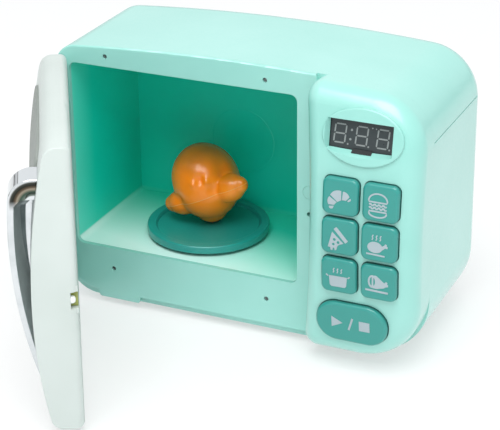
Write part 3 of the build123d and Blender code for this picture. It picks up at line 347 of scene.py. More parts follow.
world = bpy.data.worlds.new("studio")
bpy.context.scene.world = world
world.use_nodes = True
sky = Graph(world.node_tree)
in_picture = sky.node("ShaderNodeLightPath", output="Is Camera Ray")
in_mirror = sky.node("ShaderNodeLightPath", output="Is Glossy Ray")
strength = sky.spread(sky.maths("MAXIMUM", in_picture, in_mirror), 0, 1, WORLD_STRENGTH, 1.0)
towards = sky.node("ShaderNodeTexCoord", output="Generated")
height = sky.node("ShaderNodeSeparateXYZ", inputs={0: towards}, output="Z")
stops = [(place, (grey, grey, grey, 1)) for place, grey in SKYLINE]
skyline = sky.node("ShaderNodeValToRGB", {"stops": stops}, {0: height})
tinted = sky.blend(1.0, WORLD_TINT, sky.blend(in_mirror, WHITE, skyline), "MULTIPLY")
light = sky.node("ShaderNodeBackground", inputs={"Color": tinted, "Strength": strength})
world_end = sky.tree.nodes.new("ShaderNodeOutputWorld")
sky.join(world_end.inputs["Surface"], light)

lamp_data = bpy.data.lights.new("key_softbox", "AREA")
lamp_data.shape = "RECTANGLE"
lamp_data.size = KEY_SIZE
lamp_data.size_y = KEY_SIZE
lamp_data.energy = KEY_WATTS
lamp = bpy.data.objects.new("key_softbox", lamp_data)
lamp.location = KEY_PLACE
lamp.rotation_euler = (KEY_AIM - KEY_PLACE).to_track_quat("-Z", "Y").to_euler()
bpy.context.scene.collection.objects.link(lamp)
bpy.context.scene.view_settings.view_transform = "Standard"
print("lit by one softbox and the world")

# %% [markdown]
# ## Moulded plastic
#
# The housing, door, buttons and plate are injection-moulded plastic with a satin gloss.
# Real mouldings are never one flat colour: the melt cools unevenly, so the tint drifts
# over some centimetres, and the skin has a very fine orange peel. One function makes most
# of them: it takes a deep and a pale tint and a roughness, drifts between the tints with
# slow noise, rounds sharp edges with a Bevel node, and lays a painted highlight, a paler
# tint, on those edges where they would catch the light.

# %% Moulded plastics
PEEL_SHARE = 0.6
PEEL_DEPTH = 0.000018
# Radius of the rounded edges, which is also the width of the painted edge highlight.
EDGE_ROUNDING_RADIUS = 0.0004
EDGE_HIGHLIGHT_SHARE = 0.35
COAT_ROUGHNESS = 0.22


def moulded(name, deep, pale, roughness, gloss=0.0):
    """Satin injection-moulded plastic, with a glossier skin where gloss is above zero."""
    finish = Finish(name)
    peel = finish.noise(PEEL_SCALE)
    skin = peel * PEEL_SHARE + finish.noise(GRAIN_SCALE, detail=1) * (1 - PEEL_SHARE)
    # Painted highlight: sharp edges are blended towards the pale tint, as if they caught the
    # light.
    painted_edge_highlight = finish.edge_mask(EDGE_ROUNDING_RADIUS) * EDGE_HIGHLIGHT_SHARE
    finish.feed(
        base_color=finish.blend(painted_edge_highlight, finish.drift(deep, pale), pale),
        roughness=finish.sheen(peel, roughness - 0.03, roughness + 0.04),
        normal=finish.bump(skin, PEEL_DEPTH, finish.soft_edges(EDGE_ROUNDING_RADIUS)),
        coat_weight=gloss,
        coat_roughness=COAT_ROUGHNESS,
    )
    return finish.material


mint = moulded("mint_plastic", srgb(144, 209, 198), srgb(154, 215, 205), 0.36, gloss=0.9)
white_plastic = moulded("door_white_plastic", srgb(194, 204, 199), srgb(202, 211, 207), 0.38)
teal_plate = moulded("teal_plate_plastic", srgb(32, 142, 134), srgb(40, 152, 144), 0.34, gloss=0.3)
bright_white = moulded("white_part_plastic", srgb(236, 240, 236), srgb(244, 246, 243), 0.35)
# The olive plastic is painted shade for the shadowed inside of the door's notch.
notch_shade_olive = moulded("olive_notch_painted_shade", srgb(150, 158, 84), srgb(160, 168, 96), 0.5)
print("five moulded plastics")

# %% [markdown]
# The oven's inside is deep teal, far more saturated than the shell. Round its mouth it is
# painted paler, a painted light for where more light gets in, and its floor carries a
# painted pool of light: pale mint in front, turning teal towards the back on the right
# where shade falls. The height above the table decides between floor and walls: the
# floor's surface is the lowest thing in the liner that can be seen.

# %% Oven lining
LINING_RISE = 0.0052
FLOOR_EDGE = 0.0016
MOUTH_LIGHT_DEPTH = 0.03
FLOOR_LIGHT_DEPTH = -0.008
FLOOR_SHADE_DEPTH = 0.07
SIDE_SHARE = 0.25
UNEVEN_DEPTH = 0.02
FINE_PEEL_DEPTH = 0.000014
LINING_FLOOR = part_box("cavity_liner")[0][2] + LINING_RISE


def lined():
    """Deep teal walls, painted paler round the mouth, over a floor with painted light in front."""
    finish = Finish("oven_lining")
    peel = finish.noise(PEEL_SCALE)
    depth = finish.along("Y") - FACE_Y
    inside = finish.drift(srgb(12, 214, 188), srgb(20, 219, 195))
    # Painted light: the walls turn paler towards the mouth.
    walls = finish.blend(finish.spread(depth, 0.0, MOUTH_LIGHT_DEPTH), srgb(96, 226, 204), inside)
    uneven = (finish.noise(DRIFT_SCALE, detail=3) - 0.5) * UNEVEN_DEPTH
    # Painted light and shade on the floor: pale mint in front, teal towards the back right.
    slanting = depth + (finish.along("X") - FACE_X) * SIDE_SHARE + uneven
    deep = finish.spread(slanting, FLOOR_LIGHT_DEPTH, FLOOR_SHADE_DEPTH)
    floor_painted_light = finish.blend(deep, srgb(222, 252, 246), srgb(50, 218, 192))
    over_floor = finish.spread(finish.along("Z"), LINING_FLOOR, LINING_FLOOR + FLOOR_EDGE)
    finish.feed(
        base_color=finish.blend(over_floor, floor_painted_light, walls),
        roughness=finish.sheen(peel, 0.3, 0.38),
        normal=finish.bump(peel, FINE_PEEL_DEPTH, finish.soft_edges(EDGE_ROUNDING_RADIUS)),
    )
    return finish.material


mint_liner = lined()
print("lining floor below", round(LINING_FLOOR, 4))

# %% [markdown]
# ## Chrome, smoked window and dark parts
#
# Bare and plated metals share one function: a mirror with a slow ripple and faint smears.
# The window is a grey tinted pane, dull but for a thin glossy coat, so that it stays grey
# when seen edge-on. The display is a block of black resin, and the feet and the small inner
# parts are rubber, steel and paper.

# %% Chrome and glass
SMEARED = srgb(205, 210, 212)
SMEAR_SCALE = 85
SMEAR_TINT_RANGE = (0.4, 0.75)
SMEAR_SHEEN_RANGE = (0.35, 0.75)
RIPPLE_SCALE = 38
RIPPLE_DEPTH = 0.00002
METAL_EDGE = 0.0003
PANE_SMEAR_SCALE = 60
PANE_HAZE_SCALE = 9
PANE_WAVE_SCALE = 30
PANE_WAVE_DEPTH = 0.00003
DULL_EDGE = 0.0002


def plated(name, colour, roughness):
    """Plated or bare metal with a slow ripple and faint finger smears."""
    finish = Finish(name)
    smear = finish.noise(SMEAR_SCALE, detail=4, rough=0.6)
    ripple = finish.noise(RIPPLE_SCALE, detail=1)
    finish.feed(
        base_color=finish.blend(finish.spread(smear, *SMEAR_TINT_RANGE), colour, SMEARED),
        metallic=1.0,
        roughness=finish.spread(smear, *SMEAR_SHEEN_RANGE, roughness, roughness + 0.06),
        normal=finish.bump(ripple, RIPPLE_DEPTH, finish.soft_edges(METAL_EDGE)),
    )
    return finish.material


def smoked(name):
    """Grey tinted pane with a thin glossy coat."""
    finish = Finish(name)
    smear = finish.noise(PANE_SMEAR_SCALE, detail=4, rough=0.6)
    haze = finish.noise(PANE_HAZE_SCALE)
    wave = finish.noise(PANE_WAVE_SCALE, detail=1)
    finish.feed(
        base_color=finish.blend(haze, srgb(144, 151, 146), srgb(156, 162, 157)),
        roughness=finish.spread(smear, *SMEAR_SHEEN_RANGE, 0.06, 0.14),
        alpha=finish.sheen(haze, 0.86, 0.92),
        normal=finish.bump(wave, PANE_WAVE_DEPTH, finish.soft_edges(METAL_EDGE)),
        coat_weight=0.2,
        coat_roughness=0.08,
    )
    finish.shader.inputs["Specular IOR Level"].default_value = 0.0
    return finish.material


def matt(name, dark, pale, roughness, scale=700, depth=0.00004):
    """Rough dull surface with a grain: rubber, resin, paper or solder mask."""
    finish = Finish(name)
    grain = finish.noise(scale, detail=3, rough=0.6)
    finish.feed(
        base_color=finish.blend(grain, dark, pale),
        roughness=finish.sheen(grain, roughness - 0.05, roughness + 0.05),
        normal=finish.bump(grain, depth, finish.soft_edges(DULL_EDGE)),
    )
    return finish.material


steel = plated("bright_steel", srgb(176, 178, 180), 0.24)
dark_steel = plated("dark_screw_steel", srgb(70, 84, 82), 0.35)
window_tint = smoked("smoked_window")
resin = matt("black_resin", srgb(46, 54, 56), srgb(54, 62, 64), 0.32)
rubber = matt("grey_rubber", srgb(150, 158, 154), srgb(164, 172, 168), 0.8)
black_part = matt("black_part", srgb(24, 25, 26), srgb(34, 35, 36), 0.45)
paper = matt(
    "speaker_paper", srgb(40, 38, 36), srgb(62, 58, 54), 0.85, scale=1400, depth=0.00008
)
print("metals, window and dark parts ready")

# %% [markdown]
# The handle is vacuum-plated plastic, a true mirror. Chrome in darker surroundings shows
# curved dark bands in the scoop of its elbow; the studio here is pale all round, so those
# bands are painted reflections, laid on the plating as tints. They follow the distance from
# the middle of the elbow. That point is found in the door's own directions: it is given on
# the closed door, and then turned about the hinge to the place that the door has here.

# %% Handle chrome
HINGE = FACE + Vector((-0.1275, -0.0065, 0))
DOOR_TURN = Matrix.Rotation(radians(-59.6), 3, "Z")
DOOR_BACK = -0.0008
ELBOW_REACH = 0.0234
ELBOW_Z = 0.1554
SCOOP_MIDDLE = 0.0098
SCOOP_HALF = 0.0048
SCOOP_DEPTH = 0.0008
SCOOP_SCALE = 0.015
SCOOP_RISE = (-0.004, 0.002)
HANDLE_EDGE = 0.0006
CLEAN_CHROME = srgb(222, 226, 228)
SMUDGED_CHROME = srgb(204, 210, 212)
# Painted reflection: dark and brown bands on the scoop, by distance from the elbow's middle.
SCOOP_PAINTED_REFLECTIONS = (
    (0.30, CLEAN_CHROME),
    (0.36, srgb(122, 134, 124)),
    (0.50, srgb(62, 84, 72)),
    (0.62, srgb(152, 142, 126)),
    (0.69, srgb(94, 82, 68)),
    (0.78, srgb(46, 48, 44)),
    (0.88, srgb(74, 76, 70)),
    (0.95, CLEAN_CHROME),
)


def on_open_door(x, reach, z):
    """Point given on the closed door in millimetres, outwards from its back, once opened."""
    closed = FACE + Vector((x * MM, DOOR_BACK - reach * MM, z * MM))
    return HINGE + DOOR_TURN @ (closed - HINGE)


def handle_chrome():
    """Bright chrome whose elbow has a shallow scoop, with painted dark reflections in it."""
    finish = Finish("handle_chrome")
    smear = finish.noise(SMEAR_SCALE, detail=4, rough=0.6)
    outwards = DOOR_TURN @ Vector((0, -1, 0))
    reach = finish.along("X") * outwards.x + finish.along("Y") * outwards.y
    reach = reach - outwards.dot(on_open_door(0, 0, 0)) - ELBOW_REACH
    rise = finish.along("Z") - ELBOW_Z
    out = finish.maths("MAXIMUM", reach, 0.0)
    above = finish.maths("MAXIMUM", rise, 0.0)
    radius = (out * out + above * above) ** 0.5
    across = (radius - SCOOP_MIDDLE) / SCOOP_HALF
    high = finish.spread(rise, *SCOOP_RISE)
    scoop = finish.spread(1 - across * across, 0.0, 1.0) * high
    # Painted reflection: the bands replace the plain chrome tint in the scoop.
    painted_reflections = finish.node("ShaderNodeValToRGB", {"stops": SCOOP_PAINTED_REFLECTIONS}, {0: radius / SCOOP_SCALE})
    plain = finish.blend(finish.spread(smear, *SMEAR_TINT_RANGE), CLEAN_CHROME, SMUDGED_CHROME)
    finish.feed(
        base_color=finish.blend(high, plain, painted_reflections),
        roughness=finish.spread(smear, *SMEAR_SHEEN_RANGE, 0.05, 0.1),
        normal=finish.bump(1 - scoop, SCOOP_DEPTH, finish.soft_edges(HANDLE_EDGE)),
        metallic=1.0,
    )
    return finish.material


chrome = handle_chrome()
scoop_ends = (SCOOP_MIDDLE - SCOOP_HALF, SCOOP_MIDDLE + SCOOP_HALF)
print("scoop between", [round(v, 4) for v in scoop_ends], "m from the elbow's middle")

# %% [markdown]
# ## Inner parts
#
# The circuit board, the batteries and the lens are hidden inside the closed housing, but
# a part in a library is also looked at from inside. The board gets a green mask with paler
# tracks that show through it, and each cell a dark wrap with a copper-coloured band. The
# tracks are the mortar lines of a brick pattern, kept only in patches.

# %% Inner parts
TRACK_SCALE = 90.0
TRACK_WIDTH = 0.035
TRACK_DEPTH = 0.00004
PATCH_SCALE = 120
PATCH_LEVEL = 0.48
BAND_DEPTH = 0.045
SCRATCH_SCALE = 900
FROST_SCALE = 600
FROST_DEPTH = 0.00005


def board_mask():
    """Green solder mask with paler tracks."""
    finish = Finish("green_solder_mask")
    lines = finish.node(
        "ShaderNodeTexBrick",
        inputs={
            "Vector": finish.place(),
            "Scale": TRACK_SCALE,
            "Mortar Size": TRACK_WIDTH,
            "Color1": (0, 0, 0, 1),
            "Color2": (0, 0, 0, 1),
            "Mortar": (1, 1, 1, 1),
        },
    )
    patch = finish.noise(PATCH_SCALE, detail=1) > PATCH_LEVEL
    track = finish.node("ShaderNodeRGBToBW", inputs={0: lines}) * patch
    finish.feed(
        base_color=finish.blend(track, srgb(18, 86, 52), srgb(62, 140, 84)),
        roughness=finish.spread(track, 0, 1, 0.4, 0.3),
        normal=finish.bump(track, TRACK_DEPTH),
    )
    return finish.material


def battery_wrap():
    """Dark wrap with a band near the front end of each cell."""
    finish = Finish("battery_wrap")
    band = finish.along("Y") < FACE_Y + BAND_DEPTH
    scratch = finish.noise(SCRATCH_SCALE)
    finish.feed(
        base_color=finish.blend(band, srgb(44, 48, 56), srgb(186, 120, 66)),
        roughness=finish.sheen(scratch, 0.28, 0.4),
        metallic=0.6,
    )
    return finish.material


def clear_lens():
    """Frosted clear lens of the oven lamp."""
    finish = Finish("frosted_lens")
    frost = finish.noise(FROST_SCALE)
    finish.feed(
        base_color=finish.blend(frost, srgb(232, 238, 232), srgb(248, 250, 246)),
        roughness=finish.sheen(frost, 0.2, 0.4),
        alpha=0.75,
        normal=finish.bump(frost, FROST_DEPTH),
    )
    return finish.material


mask_green = board_mask()
wrap = battery_wrap()
lens = clear_lens()
print("inner finishes ready")

# %% [markdown]
# ## Giving every CAD node its finish
#
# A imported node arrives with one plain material. The table below names the finish of each
# node. Its object isn't moved and its mesh isn't changed, only its material slots are
# filled anew.

# %% Finishes of the CAD nodes
FINISHES = {
    "top_cover": mint,
    "rear_housing": mint,
    "front_frame": mint,
    "base_tray": mint,
    "battery_door": mint,
    "door_switch_plunger": mint,
    "cavity_liner": mint_liner,
    "turntable_plate": teal_plate,
    "drive_coupling": bright_white,
    "door_outer_shell": white_plastic,
    "door_inner_panel": white_plastic,
    "door_window": window_tint,
    "door_handle": chrome,
    "door_catch": bright_white,
    "display_module": resin,
    "control_board": mask_green,
    "key_switches": black_part,
    "door_switch": black_part,
    "speaker": paper,
    "turntable_motor": steel,
    "hinge_pins": steel,
    "board_screws": steel,
    "rear_screws": steel,
    "handle_screws": steel,
    "battery_screw": steel,
    "battery_contacts": steel,
    "bezel_screws": dark_steel,
    "cavity_lamp": bright_white,
    "lamp_lens": lens,
    "batteries": wrap,
    "feet": rubber,
}
BUTTONS = [name for name in nodes if name.startswith("button_") or name == "start_stop_button"]


def dress(obj, finish):
    """Puts one finish in every material slot of an object."""
    if not obj.data.materials:
        obj.data.materials.append(finish)
    for index in range(len(obj.data.materials)):
        obj.data.materials[index] = finish


for name, finish in FINISHES.items():
    dress(nodes[name], finish)
print(len(FINISHES), "nodes dressed")

# %% [markdown]
# ## Flat printed shapes
#
# The icons are pale ink printed on the button caps and the digits are grey light guides
# in the face of the display. Both are thin flat shapes, drawn in millimetres. A shape is a
# list of closed outlines: the rim and any holes in it. These helpers draw rectangles, arcs,
# and open or closed lines of one width.

# %% Outlines
def block(left, right, low, high):
    """Outline of an upright rectangle."""
    return [(left, low), (right, low), (right, high), (left, high)]


def arc(x, z, across, up, start, end, steps=12):
    """Points on an ellipse about x, z, from one angle to another, in degrees."""
    turns = [radians(start + (end - start) * i / steps) for i in range(steps + 1)]
    return [(x + across * cos(t), z + up * sin(t)) for t in turns]


def normals(points, closed):
    """Unit sideways direction at each point of a line."""
    path = np.array(points)
    if closed:
        ahead, behind = np.roll(path, -1, 0), np.roll(path, 1, 0)
    else:
        ahead, behind = np.vstack([path[1:], path[-1:]]), np.vstack([path[:1], path[:-1]])
    run = ahead - behind
    run /= np.linalg.norm(run, axis=1)[:, None]
    return path, np.stack([-run[:, 1], run[:, 0]], 1)


def stroke(points, width):
    """Outline of an open line of a given width."""
    path, side = normals(points, False)
    left = path + side * width / 2
    right = path - side * width / 2
    return [[tuple(p) for p in left] + [tuple(p) for p in right[::-1]]]


def loop(points, width):
    """Outline of a closed line of a given width: an outer loop and the hole in it."""
    path, side = normals(points, True)
    return [[tuple(p) for p in path + way * side * width / 2] for way in (1, -1)]


print("a 10 mm arc has", len(arc(0, 0, 5, 5, 0, 90)), "points")

# %% [markdown]
# A 2D curve fills each shape and gives it a small thickness, which is simpler than to build
# faces round holes by hand. All the shapes of a piece are joined, laid on the plane where
# they belong, and tied to the body that carries them.

# %% From outlines to a piece
def link(obj, body, finish):
    """Adds a new piece to the scene: it rides on a body and takes its slot and finish."""
    bpy.context.scene.collection.objects.link(obj)
    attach(obj, body)
    dress(obj, finish)
    return obj


def solved_mesh(obj):
    """Mesh of an object in the scene, as its curve or its modifiers make it."""
    bpy.context.view_layer.update()
    depsgraph = bpy.context.evaluated_depsgraph_get()
    return bpy.data.meshes.new_from_object(obj.evaluated_get(depsgraph))


def filled(outlines, thickness):
    """Mesh of one flat shape from its rim and holes, in millimetres."""
    curve = bpy.data.curves.new("shape", "CURVE")
    curve.dimensions = "2D"
    curve.fill_mode = "BOTH"
    curve.extrude = thickness / 2
    for outline in outlines:
        spline = curve.splines.new("POLY")
        spline.points.add(len(outline) - 1)
        for point, (x, z) in zip(spline.points, outline):
            point.co = (x * MM, z * MM, 0, 1)
        spline.use_cyclic_u = True
    drawn = bpy.data.objects.new("shape", curve)
    bpy.context.scene.collection.objects.link(drawn)
    mesh = solved_mesh(drawn)
    bpy.data.objects.remove(drawn)
    bpy.data.curves.remove(curve)
    return mesh


def flat_piece(name, shapes, thickness, origin, right, up, body, finish):
    """Flat shapes joined into one piece, on the plane through origin along right and up."""
    joined = bmesh.new()
    for outlines in shapes:
        part = filled(outlines, thickness)
        joined.from_mesh(part)
        bpy.data.meshes.remove(part)
    mesh = bpy.data.meshes.new(name)
    joined.to_mesh(mesh)
    joined.free()
    out = right.cross(up)
    mesh.transform(Matrix.Translation(origin) @ Matrix((right, up, out)).transposed().to_4x4())
    link(bpy.data.objects.new(name, mesh), body, finish)


print("flat pieces can be laid on any plane")

# %% [markdown]
# ## The convex face of the control panel
#
# Seen from the side, the panel and its buttons bulge forward on one large arc. A shape
# that is printed on a cap has to lie on the cap's tangent plane, so these two functions
# give the depth of that arc at a height and how far it leans back there.

# %% Convex face
PANEL_DEPTH = 0.0285
ARC_RADIUS = 0.425
ARC_MIDDLE = 0.090
ARC_CENTRE = FACE_Y - PANEL_DEPTH + ARC_RADIUS
BUTTON_PROUD = 0.0040
INK_THICKNESS = 0.0003
RIGHT = Vector((1, 0, 0))


def face_y(z, proud=0.0):
    """Depth of the convex face at height z, moved outwards by proud."""
    return ARC_CENTRE - sqrt((ARC_RADIUS + proud) ** 2 - (z - ARC_MIDDLE) ** 2)


def face_up(z):
    """Direction that runs up the face at height z."""
    lean = asin((z - ARC_MIDDLE) / ARC_RADIUS)
    return Vector((0, sin(lean), cos(lean)))


print("the face leans back", round(face_up(0.165).y, 3), "at the display")

# %% [markdown]
# The caps are the same teal plastic all over, but down in the gap round each one hardly
# any light arrives, so a painted shade darkens them there. The distance from the arc's
# centre tells how far a point of a cap stands over the panel, so the painted shade deepens
# towards the caps' feet.

# %% Caps
CAP_SHADE_FOOT = 0.0008
CAP_UNSHADED = 0.0026


def capped():
    """Teal plastic with a painted shade towards the foot of a cap."""
    finish = Finish("teal_cap_painted_shade")
    peel = finish.noise(PEEL_SCALE)
    back = finish.along("Y") - ARC_CENTRE
    high = finish.along("Z") - ARC_MIDDLE
    over = (back * back + high * high) ** 0.5 - ARC_RADIUS
    tint = finish.noise(DRIFT_SCALE, detail=3)
    # Painted shade: the cap turns dark teal towards its foot, where the gap is shaded.
    unshaded = finish.blend(tint, srgb(34, 140, 132), srgb(44, 150, 141))
    finish.feed(
        base_color=finish.blend(finish.spread(over, CAP_SHADE_FOOT, CAP_UNSHADED), srgb(0, 92, 86), unshaded),
        roughness=finish.sheen(peel, 0.3, 0.38),
        normal=finish.bump(peel, FINE_PEEL_DEPTH, finish.soft_edges(EDGE_ROUNDING_RADIUS)),
        coat_weight=0.4,
    )
    return finish.material


cap_plastic = capped()
for name in BUTTONS:
    dress(nodes[name], cap_plastic)
print(len(BUTTONS), "caps dressed")

# %% [markdown]
# ## The display
#
# Three slanted figures of seven segments stand on the black block, unlit and grey, with
# two dots between the first and the second, a point after each, and two small marks above.
# Each segment is a long hexagon. The figures lean a little to the right, as light segments
# on such modules do. Under the block a short black tab lies on the ledge of the opening.

# %% Display figures
DISPLAY_X = FACE_X + 0.0958
DISPLAY_Z = 0.1654
DISPLAY_RECESS = 0.0036
FIGURE_CENTRES = (-16.4, -2.1, 11.8)
FIGURE_WIDTH = 7.2
FIGURE_HEIGHT = 11.8
FIGURE_SLANT = 0.07
SEGMENT_WIDTH = 0.95
SEGMENT_GAP = 0.35
FIGURE_THICKNESS = 0.0001
FIGURE_LIFT = 0.00004
LEDGE_RISE = 3.5
LEDGE_RUN = 4.0
TAB_LEFT = -7.3
TAB_RIGHT = 5.8
TAB_LENGTH = 3.4
TAB_THICKNESS = 0.0004
TAB_REACH = 0.0032
TAB_DROP = 0.01075

segment_grey = matt(
    "segment_grey", srgb(128, 134, 134), srgb(142, 148, 147), 0.5, scale=1500, depth=0.00002
)


def slanted(outline, middle):
    """Leans an outline to the right about z = 0 and moves it to its place."""
    return [(x + z * FIGURE_SLANT + middle, z) for x, z in outline]


def segment(x, z, length, upright):
    """Long hexagon about x, z."""
    half, side = length / 2 - SEGMENT_GAP, SEGMENT_WIDTH / 2
    points = [(-half, 0), (-half + side, side), (half - side, side), (half, 0)]
    points += [(half - side, -side), (-half + side, -side)]
    return [(x + b, z + a) if upright else (x + a, z + b) for a, b in points]


def figure(middle):
    """All seven segments of one figure."""
    across, high = FIGURE_WIDTH / 2, FIGURE_HEIGHT / 2
    shapes = [segment(0, z, FIGURE_WIDTH, False) for z in (-high, 0, high)]
    shapes += [
        segment(x, z, high, True) for x in (-across, across) for z in (-high / 2, high / 2)
    ]
    return [slanted(shape, middle) for shape in shapes]


def dot(x, z, radius):
    return arc(x, z, radius, radius, 0, 330, 11)


marks = [shape for middle in FIGURE_CENTRES for shape in figure(middle)]
marks += [dot(-8.9, 3.0, 0.75), dot(-9.5, -3.0, 0.75)]
marks += [dot(x, -6.2, 0.6) for x in (-11.0, 2.6, 16.3)]
marks += [dot(4.6, 6.0, 0.5), dot(7.0, 5.8, 0.4)]
display_up = face_up(DISPLAY_Z)
display_out = RIGHT.cross(display_up)
display_origin = Vector((DISPLAY_X, face_y(DISPLAY_Z), DISPLAY_Z)) - display_out * DISPLAY_RECESS
flat_piece(
    "display_figures",
    [[mark] for mark in marks],
    FIGURE_THICKNESS,
    display_origin + display_out * FIGURE_LIFT,
    RIGHT,
    display_up,
    "housing",
    segment_grey,
)
ledge_up = (display_up * LEDGE_RISE - display_out * LEDGE_RUN).normalized()
flat_piece(
    "display_tab",
    [[block(TAB_LEFT, TAB_RIGHT, 0, TAB_LENGTH)]],
    TAB_THICKNESS,
    display_origin + display_out * TAB_REACH - display_up * TAB_DROP,
    RIGHT,
    ledge_up,
    "housing",
    black_part,
)
print(len(marks), "marks on the display")

# %% [markdown]
# ## Icons on the caps
#
# Each square cap carries one pale food icon. They are drawn here as simple outlines in
# millimetres from the middle of the cap. The first three are a crescent cut into slices, a
# bun with wavy fillings and a slice with a crust.

# %% Croissant, burger and pizza
SLICE_SHARES = ((0.0, 0.09), (0.13, 0.33), (0.37, 0.66), (0.70, 0.90), (0.94, 1.0))
CRESCENT_RADIUS = 6.6
CRESCENT_MIDDLE = (1.3, -5.2)
CRESCENT_STEPS = 6


def croissant():
    """Crescent cut across into five pieces, thick in the middle and thin at its tips."""
    shapes = []
    for first, last in SLICE_SHARES:
        rim, core = [], []
        for step in range(CRESCENT_STEPS + 1):
            share = first + (last - first) * step / CRESCENT_STEPS
            turn = radians(204 - 170 * share)
            half = (1.3 + 5.4 * sin(pi * share) ** 0.8) / 2
            bulge = 0.4 * sin(pi * step / CRESCENT_STEPS)
            for line, reach in ((rim, half + bulge), (core, -half)):
                radius = CRESCENT_RADIUS + reach
                x = CRESCENT_MIDDLE[0] + radius * cos(turn)
                z = CRESCENT_MIDDLE[1] + radius * sin(turn)
                line.append((x, z))
        shapes.append([rim + core[::-1]])
    return shapes


def burger():
    """Bun, two wavy fillings and the lower bun, drawn in lines."""
    dome = arc(-1.3, 1.9, 6.1, 4.7, 180, 0, 16) + [(4.5, 1.0), (-7.1, 1.0)]
    low = [(-7.0, -5.0), (4.4, -5.0)] + arc(-1.3, -6.2, 5.7, 2.6, 0, -180, 12)
    shapes = [loop(dome[::-1], 1.0), loop(low[::-1], 1.0)]
    for height, swing in ((-0.9, 0.6), (-3.0, 0.7)):
        wave = [(-7.0 + 11.4 * i / 24, height + swing * sin(i * pi / 3)) for i in range(25)]
        shapes.append(stroke(wave, 1.0))
    return shapes


def pizza():
    """Slice with a crust, three toppings and melted drips."""
    crust = stroke([(-2.3, 6.2), (5.7, -2.4)], 2.5)
    cheese = [(-4.2, 3.4), (3.6, -3.6), (0.4, -5.0), (-0.4, -6.0), (-1.2, -8.8), (-2.2, -9.0)]
    cheese += [(-2.6, -7.4), (-3.4, -7.4), (-3.8, -9.3), (-4.9, -9.2), (-5.2, -7.4), (-6.9, -7.2)]
    toppings = [dot(-2.6, -1.7, 1.0), dot(0.0, -3.4, 1.0), dot(-3.2, -5.0, 0.9)]
    return [crust, [cheese, *toppings]]


print("burger in", len(burger()), "shapes, pizza in", len(pizza()))

# %% [markdown]
# The others are a bird and a pot under three wisps of steam, and a joint on a board. The
# long cap gets the usual signs for play and stop.

# %% Roast, pot, ham and the long cap
def steam(left, low, high):
    """Three slanted wisps."""
    shapes = []
    for index in range(3):
        x = left + index * 2.6
        line = [(x - 0.3, low), (x + 0.3, low + (high - low) * 0.35)]
        line += [(x - 0.1, low + (high - low) * 0.65), (x + 0.5, high)]
        shapes.append(stroke(line, 0.75))
    return shapes


def roast():
    """Plump bird with a leg bone on a plate, steaming."""
    bird = arc(-2.2, -2.2, 5.0, 3.8, 20, 340, 22)
    bird += [(3.6, -2.6), (4.6, -1.6), (6.0, -1.9), (6.4, -0.7), (5.6, -0.2), (5.6, 0.9)]
    bird += [(4.5, 1.1), (3.9, 0.1), (2.9, -0.5)]
    plate = stroke([(-7.8, -7.0), (4.4, -7.4)], 1.1)
    return [[bird], plate, *steam(-4.0, 2.6, 6.2)]


def pot():
    """Deep pot with two ears, steaming."""
    body = [(-6.1, -0.1), (6.1, 0.2), (5.6, -6.2), (4.6, -7.4), (-4.4, -7.6), (-5.6, -6.5)]
    ears = [stroke([(-8.1, 0.5), (-6.6, -0.6)], 0.9), stroke([(7.9, 0.9), (6.6, -0.3)], 0.9)]
    return [[body], *ears, *steam(-3.0, 2.3, 5.6)]


def ham():
    """Cut joint with its bone on a board."""
    joint = arc(-3.6, 1.0, 2.9, 4.6, 75, 275, 16)
    joint += [(-0.6, -3.7), (4.2, -2.3), (5.4, -1.3), (6.9, -0.9), (7.0, 0.5), (6.3, 0.8)]
    joint += [(6.6, 2.0), (5.4, 2.5), (4.4, 1.2), (0.6, 4.4), (-1.0, 5.6)]
    cut = [arc(-3.8, 1.1, 1.5, 3.1, 95, 265, 8) + [(-3.9, 0.8)]]
    cut += [arc(-3.0, 1.1, 1.3, 2.9, 80, -80, 8) + [(-2.9, 0.8)]]
    return [[joint, *cut], stroke([(-8.2, -5.2), (6.9, -5.6)], 1.3)]


def play_and_stop():
    """Triangle, slash and square."""
    triangle = [(-13.0, 4.0), (-5.4, 0.0), (-13.0, -4.0)]
    square = [(5.8, 3.6), (13.0, 3.6), (13.0, -3.6), (5.8, -3.6)]
    return [[triangle], [square], stroke([(-1.4, -4.6), (1.4, 4.6)], 1.3)]


print("roast in", len(roast()), "shapes, pot in", len(pot()))

# %% [markdown]
# Each drawing is printed on its cap's tangent plane and rides on the cap, so that it goes
# in with it when the button is pressed.

# %% Printing the icons
ink = matt(
    "pale_ink", srgb(160, 176, 182), srgb(170, 184, 190), 0.55, scale=1800, depth=0.00001
)
ICONS = {
    "button_croissant": croissant,
    "button_burger": burger,
    "button_pizza": pizza,
    "button_roast": roast,
    "button_pot": pot,
    "button_ham": ham,
    "start_stop_button": play_and_stop,
}
for name, draw in ICONS.items():
    low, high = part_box(name)
    x, z = (low[0] + high[0]) / 2, (low[2] + high[2]) / 2
    flat_piece(
        name + "_icon",
        draw(),
        INK_THICKNESS,
        Vector((x, face_y(z, BUTTON_PROUD), z)),
        RIGHT,
        face_up(z),
        name,
        ink,
    )
print(len(ICONS), "icons printed")

# %% [markdown]
# ## The play chicken
#
# The chicken is blow-moulded soft plastic, so it has no sharp edges: the legs grow out of
# the body through soft folds, a fine seam runs round where the mould's halves met, and
# there are dents where the bird is tied together between its legs. It could be cut from a
# subdivided cube by hand, but folds come more easily by merging round lumps: ellipsoids
# are joined, remeshed into one skin, smoothed, and then pressed in and pulled out.

